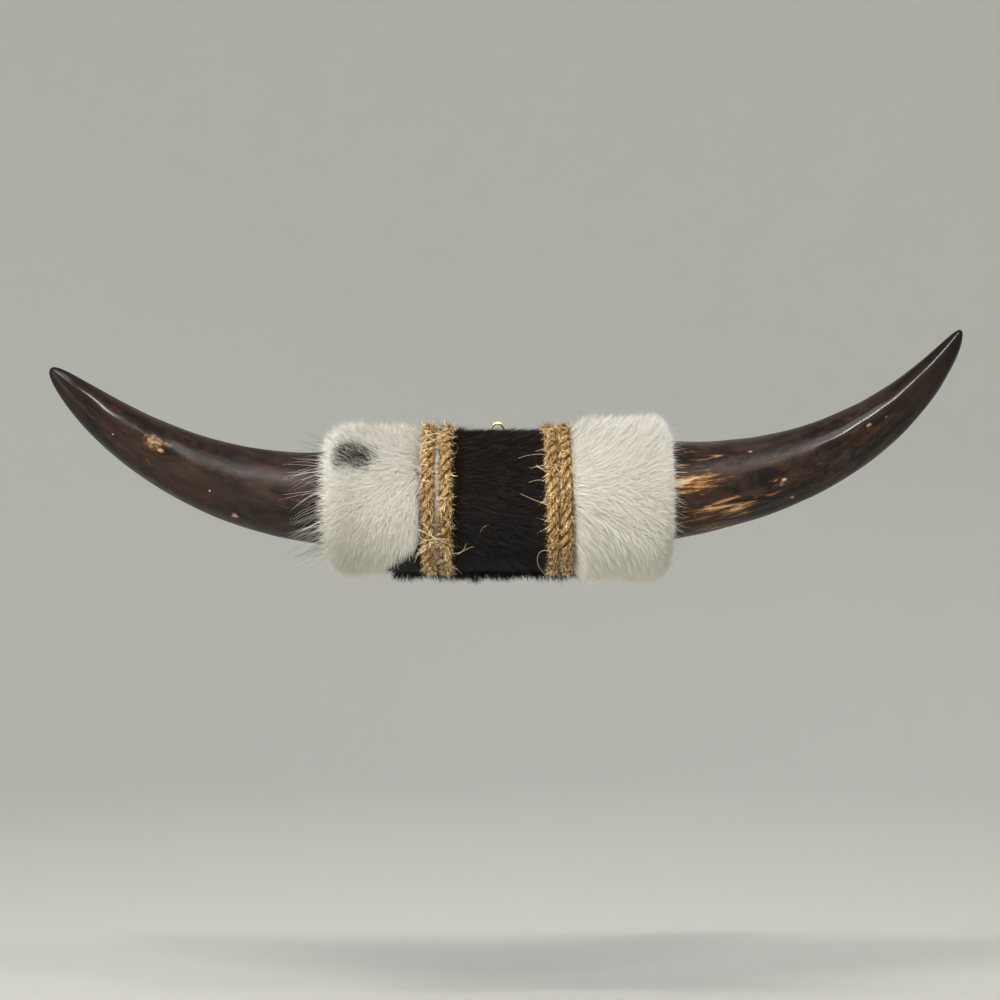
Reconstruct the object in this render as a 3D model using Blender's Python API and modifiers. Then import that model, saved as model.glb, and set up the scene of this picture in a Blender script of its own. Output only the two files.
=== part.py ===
"""A steer horn wall mount: two polished horns on a block wrapped in cowhide, with rope trim and a ring.

Metres, +Z up. The back of the block lies in the plane y = 0, against the wall, and the front faces -Y.
The origin is the middle of the block's back, level with the block's axis.
"""

import math

import bmesh
import bpy
from mathutils import Matrix, Vector

MM = 0.001
GAP = 0.3 * MM  # left between pieces that touch

# The block: a length of timber with a rounded front, turned down at each end to a peg for a horn.
BLOCK_HALF_LENGTH = 109 * MM
BLOCK_HALF_HEIGHT = 36 * MM  # also the radius of its rounded front
AXIS_Y = -34 * MM  # the block's axis, measured from its back
BACK_CORNER = 8 * MM
PEG_LENGTH = 35 * MM
PEG_RADII = (23 * MM, 19 * MM)  # at the block, at its tip

# The horns. Bends are in degrees above the horizontal, at the base and at the tip.
HORNS = {
    "left": {
        "side": -1,
        "length": 198.2,
        "base_radius": 30.6,
        "base_z": 1.3,
        "bends": (2.0, 48.9),
        "bend_power": 0.975,
        "taper": (1.0, 0.5),
    },
    "right": {
        "side": 1,
        "length": 221.2,
        "base_radius": 33.2,
        "base_z": 6.6,
        "bends": (5.0, 62.7),
        "bend_power": 1.377,
        "taper": (0.8, 0.537),
    },
}
HORN_BEND_START = 114.3 * MM  # from the middle of the mount; straight from the block to here
HORN_FORWARD = 30 * MM  # how far each tip comes forward of its base
HORN_STEPS = 22
HORN_TIP_SHARE = 0.995  # the blunt tip ends here, short of the taper's point
HORN_SIDES_RESOLUTION = 8

# The hide. Depths are measured outward from the block's surface.
HIDE_END = 112.5 * MM
HIDE_REAR_Y = -7.2 * MM
HIDE_JOINT = 35.4 * MM  # where black hide meets white, under the ropes
PRESSED_DEPTH = 4.8 * MM  # hide and flattened hair under a rope
BLACK_DEPTH = 8.4 * MM
WHITE_DEPTHS = {"left": (12.5, 13.0, 15.5), "right": (19.5, 15.5, 18.0)}  # top, front, underside
LOCK_COLUMNS = 30
WHITE_ROWS = 5
BLACK_ROWS = 5
WHITE_LOCK = 2.4 * MM  # how far a lock's tip stands off the coat
BLACK_LOCK = 0.9 * MM
FRINGE = {"left": 21 * MM, "right": 11 * MM}  # hair lying over each horn's base
FRINGE_LIFT = 1.3 * MM

# The loose end of the black hide, which hangs below the block at the back.
TAIL_HALF_WIDTH = 67 * MM
TAIL_FRONT_Y = -6.9 * MM
TAIL_REAR_Y = -4.4 * MM
TAIL_HEM_Z = -49.5 * MM
TAIL_TIPS_Z = -54 * MM
TAIL_TUFTS = 22

# The ropes.
ROPE_RADIUS = 4.0 * MM
ROPE_DEPTH = PRESSED_DEPTH + 2 * GAP + ROPE_RADIUS
ROPES = {  # middle of each rope across the mount, and how far its top leans to the left
    "rope_left_outer": (-44.5, 0.0),
    "rope_left_inner": (-33.3, 0.0),
    "rope_right_inner": (35.2, 1.4),
    "rope_right_outer": (44.0, 1.0),
}
ROPE_END_Y = -7.5 * MM
ROPE_LAY = 33 * MM  # one full turn of its three strands
ROPE_STEPS_PER_TURN = 8
STRANDS = 3
STRAND_POINTS = 3  # of the section's outline, for each strand
STRAND_VALLEY = 0.76

# The hanger, let into the back of the block.
POCKET_HALF_WIDTH = 17 * MM
POCKET_FLOOR_Z = 4 * MM
POCKET_DEPTH = 6.5 * MM
WIRE_RADIUS = 1.0 * MM
RING_APEX_Z = 51.9 * MM  # middle of the wire
RING_APEX_RADIUS = 3.7 * MM
RING_CORNER_RADIUS = 3.0 * MM
HINGE_Z = 31 * MM
STRAP_HALF_WIDTH = 6 * MM
STRAP_THICKNESS = 0.9 * MM
STRAP_END_Z = 8 * MM
BARREL_BORE = WIRE_RADIUS + GAP
BARREL_RADIUS = BARREL_BORE + STRAP_THICKNESS
STRAP_BACK_Y = -POCKET_DEPTH + GAP
HINGE_Y = STRAP_BACK_Y + BARREL_RADIUS
SCREW_Z = 15 * MM
SCREW_HEAD_RADIUS = 3.2 * MM
SCREW_HEAD_HEIGHT = 1.9 * MM
SCREW_SHANK_RADIUS = 1.5 * MM
SCREW_LENGTH = 16 * MM
SCREW_SLOT = (3.4 * MM, 0.8 * MM, 1.0 * MM)  # length, width and depth of the cross in its head


def clear_scene():
    for obj in list(bpy.data.objects):
        bpy.data.objects.remove(obj)


def new_collection(name):
    collection = bpy.data.collections.new(name)
    bpy.context.scene.collection.children.link(collection)
    return collection


def material(name, colour, roughness, metallic=0.0):
    made = bpy.data.materials.new(name)
    made.use_nodes = True
    shader = made.node_tree.nodes["Principled BSDF"]
    shader.inputs["Base Color"].default_value = (*colour, 1.0)
    shader.inputs["Roughness"].default_value = roughness
    shader.inputs["Metallic"].default_value = metallic
    return made


def link(name, data, collection, finish=None):
    obj = bpy.data.objects.new(name, data)
    collection.objects.link(obj)
    if finish is not None:
        data.materials.append(finish)
    return obj


def cutter(name, data, collection):
    obj = link(name, data, collection)
    obj.hide_render = True
    obj.display_type = "WIRE"
    return obj


def mesh_from_curve(obj, collection, as_cutter=False):
    """Replaces a curve object by its closed mesh, because a Boolean takes no curve."""
    bpy.context.view_layer.update()
    name = obj.name
    evaluated = obj.evaluated_get(bpy.context.evaluated_depsgraph_get())
    mesh = bpy.data.meshes.new_from_object(evaluated)
    matrix = obj.matrix_world.copy()
    bpy.data.objects.remove(obj)
    shape = bmesh.new()
    shape.from_mesh(mesh)
    bmesh.ops.remove_doubles(shape, verts=shape.verts, dist=0.02 * MM)
    bmesh.ops.recalc_face_normals(shape, faces=shape.faces)
    shape.to_mesh(mesh)
    shape.free()
    made = cutter(name, mesh, collection) if as_cutter else link(name, mesh, collection)
    made.matrix_world = matrix
    return made


def boolean(obj, other, operation):
    modifier = obj.modifiers.new(f"{operation}_{other.name}", "BOOLEAN")
    modifier.operation = operation
    modifier.object = other
    modifier.solver = "EXACT"


def poly_spline(curve, points, cyclic):
    spline = curve.splines.new("POLY")
    spline.points.add(len(points) - 1)
    for point, place in zip(spline.points, points):
        point.co = (*place, 0.0, 1.0) if len(place) == 2 else (*place, 1.0)
    spline.use_cyclic_u = cyclic
    return spline


def flat_outline(name, outlines, half_thickness, collection, rotation=(0, 0, 0), location=(0, 0, 0)):
    """A plate of the given outline, as a 2D curve turned into place."""
    curve = bpy.data.curves.new(name, "CURVE")
    curve.dimensions = "2D"
    curve.fill_mode = "BOTH"
    curve.extrude = half_thickness
    for outline in outlines:
        poly_spline(curve, outline, cyclic=True)
    obj = link(name, curve, collection)
    obj.rotation_euler = rotation
    obj.location = location
    return obj


ACROSS = (math.pi / 2, 0, math.pi / 2)  # turns a flat (y, z) outline to face along X


def arc(centre, radius, start, end, steps):
    """Points of an arc in degrees, both ends included."""
    angles = [math.radians(start + (end - start) * i / steps) for i in range(steps + 1)]
    return [(centre[0] + radius * math.cos(a), centre[1] + radius * math.sin(a)) for a in angles]


def block_outline(offset=0.0, rear_y=0.0, corner=BACK_CORNER):
    """The block's section in (y, z), grown by an offset."""
    reach = BLOCK_HALF_HEIGHT + offset
    front = arc((AXIS_Y, 0), reach, 90, 270, 28)
    lower = arc((rear_y - corner, -reach + corner), corner, -90, 0, 4)
    upper = arc((rear_y - corner, reach - corner), corner, 0, 90, 4)
    return front + lower + upper


def around_block(share, depth, rear_top=HIDE_REAR_Y, rear_bottom=HIDE_REAR_Y):
    """The (y, z) point a share of the way round the block, from its top rear over the front to its
    bottom rear, at a depth outside its surface."""
    top = rear_top - AXIS_Y
    front = math.pi * BLOCK_HALF_HEIGHT
    run = share * (top + front + rear_bottom - AXIS_Y)
    reach = BLOCK_HALF_HEIGHT + depth
    if run < top:
        return rear_top - run, reach
    if run > top + front:
        return AXIS_Y + run - top - front, -reach
    angle = (run - top) / BLOCK_HALF_HEIGHT
    return AXIS_Y - reach * math.sin(angle), reach * math.cos(angle)


def horn_line(horn):
    """The horn's centreline as (point, radius) pairs from base to tip, found by walking along its bend
    beyond a short straight start that keeps the cut end square to the block."""
    length = horn["length"] * MM
    low, high = (math.radians(b) for b in horn["bends"])
    substeps = 8
    x, z = HORN_BEND_START, horn["base_z"] * MM
    line = []
    for i in range(HORN_STEPS + 1):
        share = HORN_TIP_SHARE * (i / HORN_STEPS) ** 0.92
        radius = horn["base_radius"] * MM * (1 - share ** horn["taper"][0]) ** horn["taper"][1]
        if line:
            step = (share - line[-1][2]) * length / substeps
            for k in range(substeps):
                at = line[-1][2] + (share - line[-1][2]) * (k + 0.5) / substeps
                bend = low + (high - low) * at ** horn["bend_power"]
                x += step * math.cos(bend)
                z += step * math.sin(bend)
        place = Vector((horn["side"] * x, AXIS_Y - HORN_FORWARD * share**2, z))
        line.append((place, radius, share))
    base = Vector((horn["side"] * (BLOCK_HALF_LENGTH + GAP), AXIS_Y, horn["base_z"] * MM))
    return [(base, horn["base_radius"] * MM)] + [(place, radius) for place, radius, _ in line]


def horn_curve(name, horn, collection, grow=0.0):
    curve = bpy.data.curves.new(name, "CURVE")
    curve.dimensions = "3D"
    curve.bevel_depth = 1.0
    curve.bevel_resolution = HORN_SIDES_RESOLUTION
    curve.use_fill_caps = True
    line = horn_line(horn)
    inward = Vector((-horn["side"] * (4 * MM if grow else 0), 0, 0))
    points = [line[0][0] + inward] + [place for place, _ in line[1:]]
    spline = poly_spline(curve, points, cyclic=False)
    for point, (_, radius) in zip(spline.points, line):
        point.radius = radius + grow
    return link(name, curve, collection)


def centre_at(line, x):
    """The horn's centre and radius where it crosses a distance from the middle of the mount."""
    for (a, radius_a), (b, radius_b) in zip(line, line[1:]):
        if abs(b.x) >= x:
            share = max(0.0, (x - abs(a.x)) / (abs(b.x) - abs(a.x)))
            return a.lerp(b, share), radius_a + (radius_b - radius_a) * share
    return line[-1]


def cone(radius_1, radius_2, length, sides, matrix):
    """A closed cone or cylinder mesh whose axis is Z, turned into place."""
    mesh = bpy.data.meshes.new("cone")
    shape = bmesh.new()
    bmesh.ops.create_cone(
        shape, cap_ends=True, segments=sides, radius1=radius_1, radius2=radius_2, depth=length, matrix=matrix
    )
    shape.to_mesh(mesh)
    shape.free()
    return mesh


def box(low, high):
    mesh = bpy.data.meshes.new("box")
    shape = bmesh.new()
    bmesh.ops.create_cube(shape, size=1.0)
    size = [b - a for a, b in zip(low, high)]
    middle = [(a + b) / 2 for a, b in zip(low, high)]
    bmesh.ops.transform(shape, matrix=Matrix.Translation(middle) @ Matrix.Diagonal((*size, 1)), verts=shape.verts)
    shape.to_mesh(mesh)
    shape.free()
    return mesh


def along_x(side, start, length, z):
    """Places a cone's middle so that its first end is at start and it runs outward along X."""
    middle = Matrix.Translation((side * (start + length / 2), AXIS_Y, z))
    return middle @ Matrix.Rotation(side * math.pi / 2, 4, "Y")


def loft(name, rings, first_centre, last_centre):
    """A closed mesh through rings of points, each end closed by a fan to its centre."""
    mesh = bpy.data.meshes.new(name)
    shape = bmesh.new()
    rows = [[shape.verts.new(p) for p in ring] for ring in rings]
    for a, b in zip(rows, rows[1:]):
        for i in range(len(a)):
            j = (i + 1) % len(a)
            shape.faces.new((a[i], a[j], b[j], b[i]))
    for row, place in ((rows[0], first_centre), (rows[-1], last_centre)):
        centre = shape.verts.new(place)
        for i in range(len(row)):
            shape.faces.new((row[i], row[(i + 1) % len(row)], centre))
    bmesh.ops.recalc_face_normals(shape, faces=shape.faces)
    shape.to_mesh(mesh)
    shape.free()
    return mesh


def smooth_step(value, low, high):
    share = min(1.0, max(0.0, (value - low) / (high - low)))
    return share * share * (3 - 2 * share)


def white_depth(depths, share):
    """The white coat's depth round the block, from its top over the front to its underside."""
    top, front, under = (d * MM for d in depths)
    lower = smooth_step(share, 0.5, 0.85)
    upper = smooth_step(1 - share, 0.5, 0.85)
    return front + (top - front) * upper + (under - front) * lower


def coat_rings(start, end, rows, depth_at, lock):
    """Rings of a coat of overlapping locks between two distances from the middle. In each row every
    second column is a lock, whose tip stands proud of the row after it."""
    rings = []
    pitch = (end - start) / rows
    for row in range(rows):
        for part in range(2):
            ring = []
            for column in range(LOCK_COLUMNS):
                share = column / (LOCK_COLUMNS - 1)
                is_lock = (row + column) % 2 == 0
                if part == 0:
                    run, lift = 0.12, -0.3
                else:
                    run, lift = (0.98, 1.0) if is_lock else (0.62, -0.45)
                x = start + pitch * (row + run)
                depth = depth_at(x, share) + lift * lock
                ring.append((x, share, max(depth, 2.6 * MM)))
            rings.append(sorted_by_run(ring, rings))
    return rings


def sorted_by_run(ring, before):
    """Keeps each column moving outward from the ring before, so that the loft never folds back."""
    if not before:
        return ring
    return [(max(x, previous[0] + 0.2 * MM), share, depth) for (x, share, depth), previous in zip(ring, before[-1])]


def white_hide(name, horn, parts, cutters, finish):
    """White hide over one end of the block, with its long coat and the fringe over the horn."""
    side = horn["side"]
    word = "left" if side < 0 else "right"
    line = horn_line(horn)
    rope_edge = max(abs(x) for rope, (x, _) in ROPES.items() if word in rope) * MM + ROPE_RADIUS

    def depth_at(x, share):
        full = white_depth(WHITE_DEPTHS[word], share)
        rise = smooth_step(x, rope_edge + 0.2 * MM, rope_edge + 13 * MM)
        return PRESSED_DEPTH + (full - PRESSED_DEPTH) * (0.3 * smooth_step(rise, 0, 0.05) + 0.7 * rise)

    flat = [
        [(x, j / (LOCK_COLUMNS - 1), PRESSED_DEPTH) for j in range(LOCK_COLUMNS)]
        for x in (HIDE_JOINT + GAP / 2, rope_edge)
    ]
    rings = flat + coat_rings(rope_edge + 1 * MM, HIDE_END - 7 * MM, WHITE_ROWS, depth_at, WHITE_LOCK)
    shoulders = [
        [(HIDE_END - back, j / (LOCK_COLUMNS - 1), keep) for j in range(LOCK_COLUMNS)]
        for back, keep in ((3.0 * MM, 0.86), (0.4 * MM, 0.5))
    ]
    rings += [[(x, share, keep * depth_at(x, share)) for x, share, keep in ring] for ring in shoulders]
    placed = [[(side * x, *around_block(share, depth)) for x, share, depth in ring] for ring in rings]
    placed.append(fringe_ring(side, line, FRINGE[word], placed[-1]))
    inner, outer = line[0][0], centre_at(line, HIDE_END)[0]
    mesh = loft(name, placed, (placed[0][0][0], inner.y, inner.z), outer)
    mesh.materials.append(finish)
    hide = bpy.data.objects.new(name, mesh)
    parts.objects.link(hide)

    outline = block_outline(GAP, rear_y=12 * MM)
    hollow = flat_outline(f"{name}_hollow", [outline], BLOCK_HALF_LENGTH / 2, cutters, ACROSS)
    hollow.location.x = side * (BLOCK_HALF_LENGTH / 2 + GAP)
    boolean(hide, mesh_from_curve(hollow, cutters, as_cutter=True), "DIFFERENCE")
    hole = horn_curve(f"{name}_horn_hole", horn, cutters, grow=0.45 * MM)
    boolean(hide, mesh_from_curve(hole, cutters, as_cutter=True), "DIFFERENCE")
    return hide


def fringe_ring(side, line, fringe, ring):
    """The last ring of a white hide: every second point is the tip of a lock that lies along the horn,
    and the points between them sink into the horn, where they are cut away."""
    made = []
    for column, (_, y, z) in enumerate(ring):
        is_tip = column % 2 == 0
        uneven = 0.72 + 0.28 * math.sin(2.3 * column + side)
        x = HIDE_END + (fringe * uneven if is_tip else 0.6 * MM)
        centre, radius = centre_at(line, x)
        away = Vector((0, y - centre.y, z - centre.z)).normalized()
        reach = radius + (FRINGE_LIFT if is_tip else -3 * MM)
        made.append((side * x, centre.y + away.y * reach, centre.z + away.z * reach))
    return made


def black_hide(parts, cutters, finish):
    """Black hide round the middle of the block, with its loose end hanging behind."""
    name = "black_hide"
    rope_edge = 28.9 * MM

    def depth_at(x, share):
        rise = smooth_step(rope_edge - abs(x), 0, 3.5 * MM)
        return PRESSED_DEPTH + (BLACK_DEPTH - PRESSED_DEPTH) * rise

    end = HIDE_JOINT - GAP / 2
    pressed = [
        [(x, j / (LOCK_COLUMNS - 1), PRESSED_DEPTH) for j in range(LOCK_COLUMNS)]
        for x in (-end, -rope_edge - 0.3 * MM, rope_edge + 0.6 * MM, end)
    ]
    coat = coat_rings(-rope_edge, rope_edge, BLACK_ROWS, depth_at, BLACK_LOCK)
    rings = pressed[:2] + coat + pressed[2:]
    placed = [
        [(x, *around_block(share, depth, rear_bottom=TAIL_REAR_Y - 0.2 * MM)) for x, share, depth in ring]
        for ring in rings
    ]
    mesh = loft(name, placed, (-end, AXIS_Y, 0), (end, AXIS_Y, 0))
    mesh.materials.append(finish)
    hide = bpy.data.objects.new(name, mesh)
    parts.objects.link(hide)

    pitch = 2 * TAIL_HALF_WIDTH / TAIL_TUFTS
    hem = []
    for tuft in range(TAIL_TUFTS):
        left = -TAIL_HALF_WIDTH + tuft * pitch
        uneven = 1.0 * MM * math.sin(1.7 * tuft)
        hem += [(left, TAIL_HEM_Z - uneven), (left + pitch / 2 + uneven, TAIL_TIPS_Z + uneven / 2)]
    top = -BLOCK_HALF_HEIGHT + 3 * MM
    outline = [(-TAIL_HALF_WIDTH, top), *hem, (TAIL_HALF_WIDTH, TAIL_HEM_Z), (TAIL_HALF_WIDTH, top)]
    tail = flat_outline(
        "black_hide_tail",
        [outline],
        (TAIL_REAR_Y - TAIL_FRONT_Y) / 2,
        cutters,
        (math.pi / 2, 0, 0),
        (0, (TAIL_REAR_Y + TAIL_FRONT_Y) / 2, 0),
    )
    boolean(hide, mesh_from_curve(tail, cutters, as_cutter=True), "UNION")
    outline = block_outline(GAP, rear_y=12 * MM)
    hollow = flat_outline(f"{name}_hollow", [outline], 2 * HIDE_JOINT, cutters, ACROSS)
    boolean(hide, mesh_from_curve(hollow, cutters, as_cutter=True), "DIFFERENCE")
    return hide


def timber_block(parts, cutters, finish):
    """The block with its two pegs, the pocket for the hanger and the hole for its screw."""
    curve = flat_outline("block", [block_outline()], BLOCK_HALF_LENGTH, parts, ACROSS)
    block = mesh_from_curve(curve, parts)
    block.data.materials.clear()
    block.data.materials.append(finish)
    overlap = 2 * MM
    for horn in HORNS.values():
        place = along_x(horn["side"], BLOCK_HALF_LENGTH - overlap, PEG_LENGTH + overlap, horn["base_z"] * MM)
        peg = cone(*PEG_RADII, PEG_LENGTH + overlap, 20, place)
        boolean(block, cutter(f"peg_{horn['side']}", peg, cutters), "UNION")
    pocket = box(
        (-POCKET_HALF_WIDTH, -POCKET_DEPTH, POCKET_FLOOR_Z), (POCKET_HALF_WIDTH, 5 * MM, BLOCK_HALF_HEIGHT + 5 * MM)
    )
    boolean(block, cutter("pocket", pocket, cutters), "DIFFERENCE")
    pilot = cone(
        SCREW_SHANK_RADIUS + GAP,
        SCREW_SHANK_RADIUS + GAP,
        2 * SCREW_LENGTH,
        12,
        Matrix.Translation((0, -POCKET_DEPTH, SCREW_Z)) @ Matrix.Rotation(math.pi / 2, 4, "X"),
    )
    boolean(block, cutter("pilot_hole", pilot, cutters), "DIFFERENCE")
    return block


def horn_piece(name, horn, parts, cutters, finish):
    """One horn, hollow at its base to take the block's peg."""
    made = mesh_from_curve(horn_curve(name, horn, parts), parts)
    made.data.materials.append(finish)
    start = BLOCK_HALF_LENGTH - 2 * MM
    length = PEG_LENGTH + 2 * MM + 2 * GAP
    place = along_x(horn["side"], start, length, horn["base_z"] * MM)
    hollow = cone(PEG_RADII[0] + GAP, PEG_RADII[1] + GAP, length, 20, place)
    boolean(made, cutter(f"{name}_hollow", hollow, cutters), "DIFFERENCE")
    made.data.shade_smooth()
    made.data.set_sharp_from_angle(angle=math.radians(40))
    return made


def strand_section(cutters):
    """The outline of three strands laid together, which is swept and twisted into a rope."""
    curve = bpy.data.curves.new("strand_section", "CURVE")
    curve.dimensions = "2D"
    count = STRANDS * STRAND_POINTS
    outline = []
    for i in range(count):
        angle = 2 * math.pi * i / count
        reach = ROPE_RADIUS * (1.0 if i % STRAND_POINTS == 0 else STRAND_VALLEY)
        outline.append((reach * math.cos(angle), reach * math.sin(angle)))
    poly_spline(curve, outline, cyclic=True)
    return cutter("strand_section", curve, cutters)


def rope(name, middle, lean, section, parts, finish):
    """One rope, bound over the hide from the block's top rear to its bottom rear."""
    curve = bpy.data.curves.new(name, "CURVE")
    curve.dimensions = "3D"
    curve.bevel_mode = "OBJECT"
    curve.bevel_object = section
    curve.use_fill_caps = True
    reach = BLOCK_HALF_HEIGHT + ROPE_DEPTH
    length = math.pi * reach + 2 * (ROPE_END_Y - AXIS_Y)
    steps = round(length / ROPE_LAY * ROPE_STEPS_PER_TURN)
    points = []
    for i in range(steps + 1):
        y, z = around_block(even_share(i / steps, reach), ROPE_DEPTH, ROPE_END_Y, ROPE_END_Y)
        points.append((middle * MM - lean * MM * z / reach, y, z))
    spline = poly_spline(curve, points, cyclic=False)
    for i, point in enumerate(spline.points):
        point.tilt = i * 2 * math.pi / ROPE_STEPS_PER_TURN
    made = mesh_from_curve(link(name, curve, parts), parts)
    made.data.materials.append(finish)
    return made


def even_share(share, reach):
    """Turns a share of a rope's own length into a share of the way round the block."""
    straight = ROPE_END_Y - AXIS_Y
    run = share * (2 * straight + math.pi * reach)
    on_block = min(run, straight)
    on_block += min(max(run - straight, 0), math.pi * reach) * BLOCK_HALF_HEIGHT / reach
    on_block += max(run - straight - math.pi * reach, 0)
    return on_block / (2 * straight + math.pi * BLOCK_HALF_HEIGHT)


def hanger_ring(parts, finish):
    """A three-sided wire ring with round corners. Its base is the hinge, where the object's origin is."""
    lean = math.radians(30)  # of each leg from the vertical
    apex = RING_APEX_Z - HINGE_Z + RING_APEX_RADIUS / math.sin(lean) - RING_APEX_RADIUS
    half_base = apex * math.tan(lean)
    corner_x = half_base - RING_CORNER_RADIUS / math.tan(lean)
    apex_centre = (0, RING_APEX_Z - HINGE_Z - RING_APEX_RADIUS)
    outline = arc((corner_x, RING_CORNER_RADIUS), RING_CORNER_RADIUS, -90, 30, 5)
    outline += arc(apex_centre, RING_APEX_RADIUS, 30, 150, 8)
    outline += arc((-corner_x, RING_CORNER_RADIUS), RING_CORNER_RADIUS, 150, 270, 5)
    curve = bpy.data.curves.new("hanger_ring", "CURVE")
    curve.dimensions = "3D"
    curve.bevel_depth = WIRE_RADIUS
    curve.bevel_resolution = 2
    poly_spline(curve, [(x, 0, z) for x, z in outline], cyclic=True)
    curve.materials.append(finish)
    ring = link("hanger_ring", curve, parts)
    ring.location = (0, HINGE_Y, HINGE_Z)
    return ring


def hanger_strap(parts, cutters, finish):
    """A strip of sheet metal rolled round the ring's base at its top end."""
    centre = (HINGE_Y, HINGE_Z)
    front_y = STRAP_BACK_Y + STRAP_THICKNESS
    meeting = math.degrees(math.acos((front_y - HINGE_Y) / BARREL_RADIUS))
    outline = [(STRAP_BACK_Y, STRAP_END_Z), (front_y, STRAP_END_Z)]
    outline += arc(centre, BARREL_RADIUS, -meeting, 180, 14)
    bore = arc(centre, BARREL_BORE, 0, 360 - 360 / 14, 13)
    curve = flat_outline("hanger_strap", [outline, bore], STRAP_HALF_WIDTH, parts, ACROSS)
    strap = mesh_from_curve(curve, parts)
    strap.data.materials.append(finish)
    through = cone(
        SCREW_SHANK_RADIUS + GAP,
        SCREW_SHANK_RADIUS + GAP,
        6 * MM,
        12,
        Matrix.Translation((0, front_y, SCREW_Z)) @ Matrix.Rotation(math.pi / 2, 4, "X"),
    )
    boolean(strap, cutter("strap_hole", through, cutters), "DIFFERENCE")
    return strap


def hanger_screw(parts, cutters, finish):
    """A round-headed screw through the strap into the block, turned about Y."""
    seat_y = STRAP_BACK_Y + STRAP_THICKNESS + GAP
    head = [
        (0.0, SCREW_HEAD_HEIGHT),
        (0.55 * SCREW_HEAD_RADIUS, 0.93 * SCREW_HEAD_HEIGHT),
        (0.88 * SCREW_HEAD_RADIUS, 0.6 * SCREW_HEAD_HEIGHT),
        (SCREW_HEAD_RADIUS, 0.0),
    ]
    tip = [
        (SCREW_SHANK_RADIUS, 0.0),
        (SCREW_SHANK_RADIUS, -SCREW_LENGTH + 3 * MM),
        (0.0, -SCREW_LENGTH),
    ]
    mesh = bpy.data.meshes.new("hanger_screw")
    profile = [(radius, 0.0, height) for radius, height in head + tip]
    mesh.from_pydata(profile, [(i, i + 1) for i in range(len(profile) - 1)], [])
    mesh.materials.append(finish)
    screw = bpy.data.objects.new("hanger_screw", mesh)
    parts.objects.link(screw)
    screw.location = (0, seat_y, SCREW_Z)
    screw.rotation_euler = (-math.pi / 2, 0, 0)
    turned = screw.modifiers.new("turned", "SCREW")
    turned.steps = turned.render_steps = 16
    turned.use_merge_vertices = True
    turned.merge_threshold = 0.00001
    turned.use_smooth_shade = True
    length, width, depth = SCREW_SLOT
    top = SCREW_HEAD_HEIGHT
    for name, half_x, half_y in (("slot_a", length / 2, width / 2), ("slot_b", width / 2, length / 2)):
        slot = cutter(name, box((-half_x, -half_y, top - depth), (half_x, half_y, top + depth)), cutters)
        slot.parent = screw
        boolean(screw, slot, "DIFFERENCE")
    return screw


def main():
    clear_scene()
    parts = new_collection("horn_mount")
    cutters = new_collection("cutters")
    timber = material("timber", (0.55, 0.38, 0.21), 0.75)
    polished_horn = material("polished_horn", (0.055, 0.038, 0.03), 0.2)
    white_hair = material("white_hair", (0.78, 0.76, 0.7), 0.9)
    black_hair = material("black_hair", (0.02, 0.015, 0.012), 0.6)
    rope_fibre = material("rope_fibre", (0.5, 0.31, 0.13), 0.85)
    brass = material("brass", (0.72, 0.55, 0.25), 0.25, 1.0)

    timber_block(parts, cutters, timber)
    for word, horn in HORNS.items():
        horn_piece(f"horn_{word}", horn, parts, cutters, polished_horn)
        white_hide(f"white_hide_{word}", horn, parts, cutters, white_hair)
    black_hide(parts, cutters, black_hair)
    section = strand_section(cutters)
    for name, (middle, lean) in ROPES.items():
        rope(name, middle, lean, section, parts, rope_fibre)
    hanger_strap(parts, cutters, brass)
    hanger_screw(parts, cutters, brass)
    hanger_ring(parts, brass)


main()
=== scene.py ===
import math

import bmesh
import bpy
import numpy as np
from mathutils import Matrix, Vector, noise
from mathutils.geometry import interpolate_bezier


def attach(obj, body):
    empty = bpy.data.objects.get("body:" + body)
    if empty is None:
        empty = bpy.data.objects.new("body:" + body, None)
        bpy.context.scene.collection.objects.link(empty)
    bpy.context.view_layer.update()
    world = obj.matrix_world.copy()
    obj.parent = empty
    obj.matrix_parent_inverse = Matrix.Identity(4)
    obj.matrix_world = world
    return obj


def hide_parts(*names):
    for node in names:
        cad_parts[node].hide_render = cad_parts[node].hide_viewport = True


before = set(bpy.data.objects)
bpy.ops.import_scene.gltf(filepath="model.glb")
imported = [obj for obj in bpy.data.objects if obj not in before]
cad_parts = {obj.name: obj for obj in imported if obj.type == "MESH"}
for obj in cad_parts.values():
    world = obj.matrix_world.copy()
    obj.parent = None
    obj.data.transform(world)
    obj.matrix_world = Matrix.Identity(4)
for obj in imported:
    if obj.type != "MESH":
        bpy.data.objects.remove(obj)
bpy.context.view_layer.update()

bl_info = {
    "name": "Steer Horn Mount",
    "version": (1, 0, 0),
    "blender": (4, 5, 0),
    "location": "3D View > Sidebar > Horn Mount",
    "description": "Dresses a steer horn wall mount with polished horn, cow hair, laid rope and brass",
    "category": "Object",
}

MM = 0.001
BODY = "mount"

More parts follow.
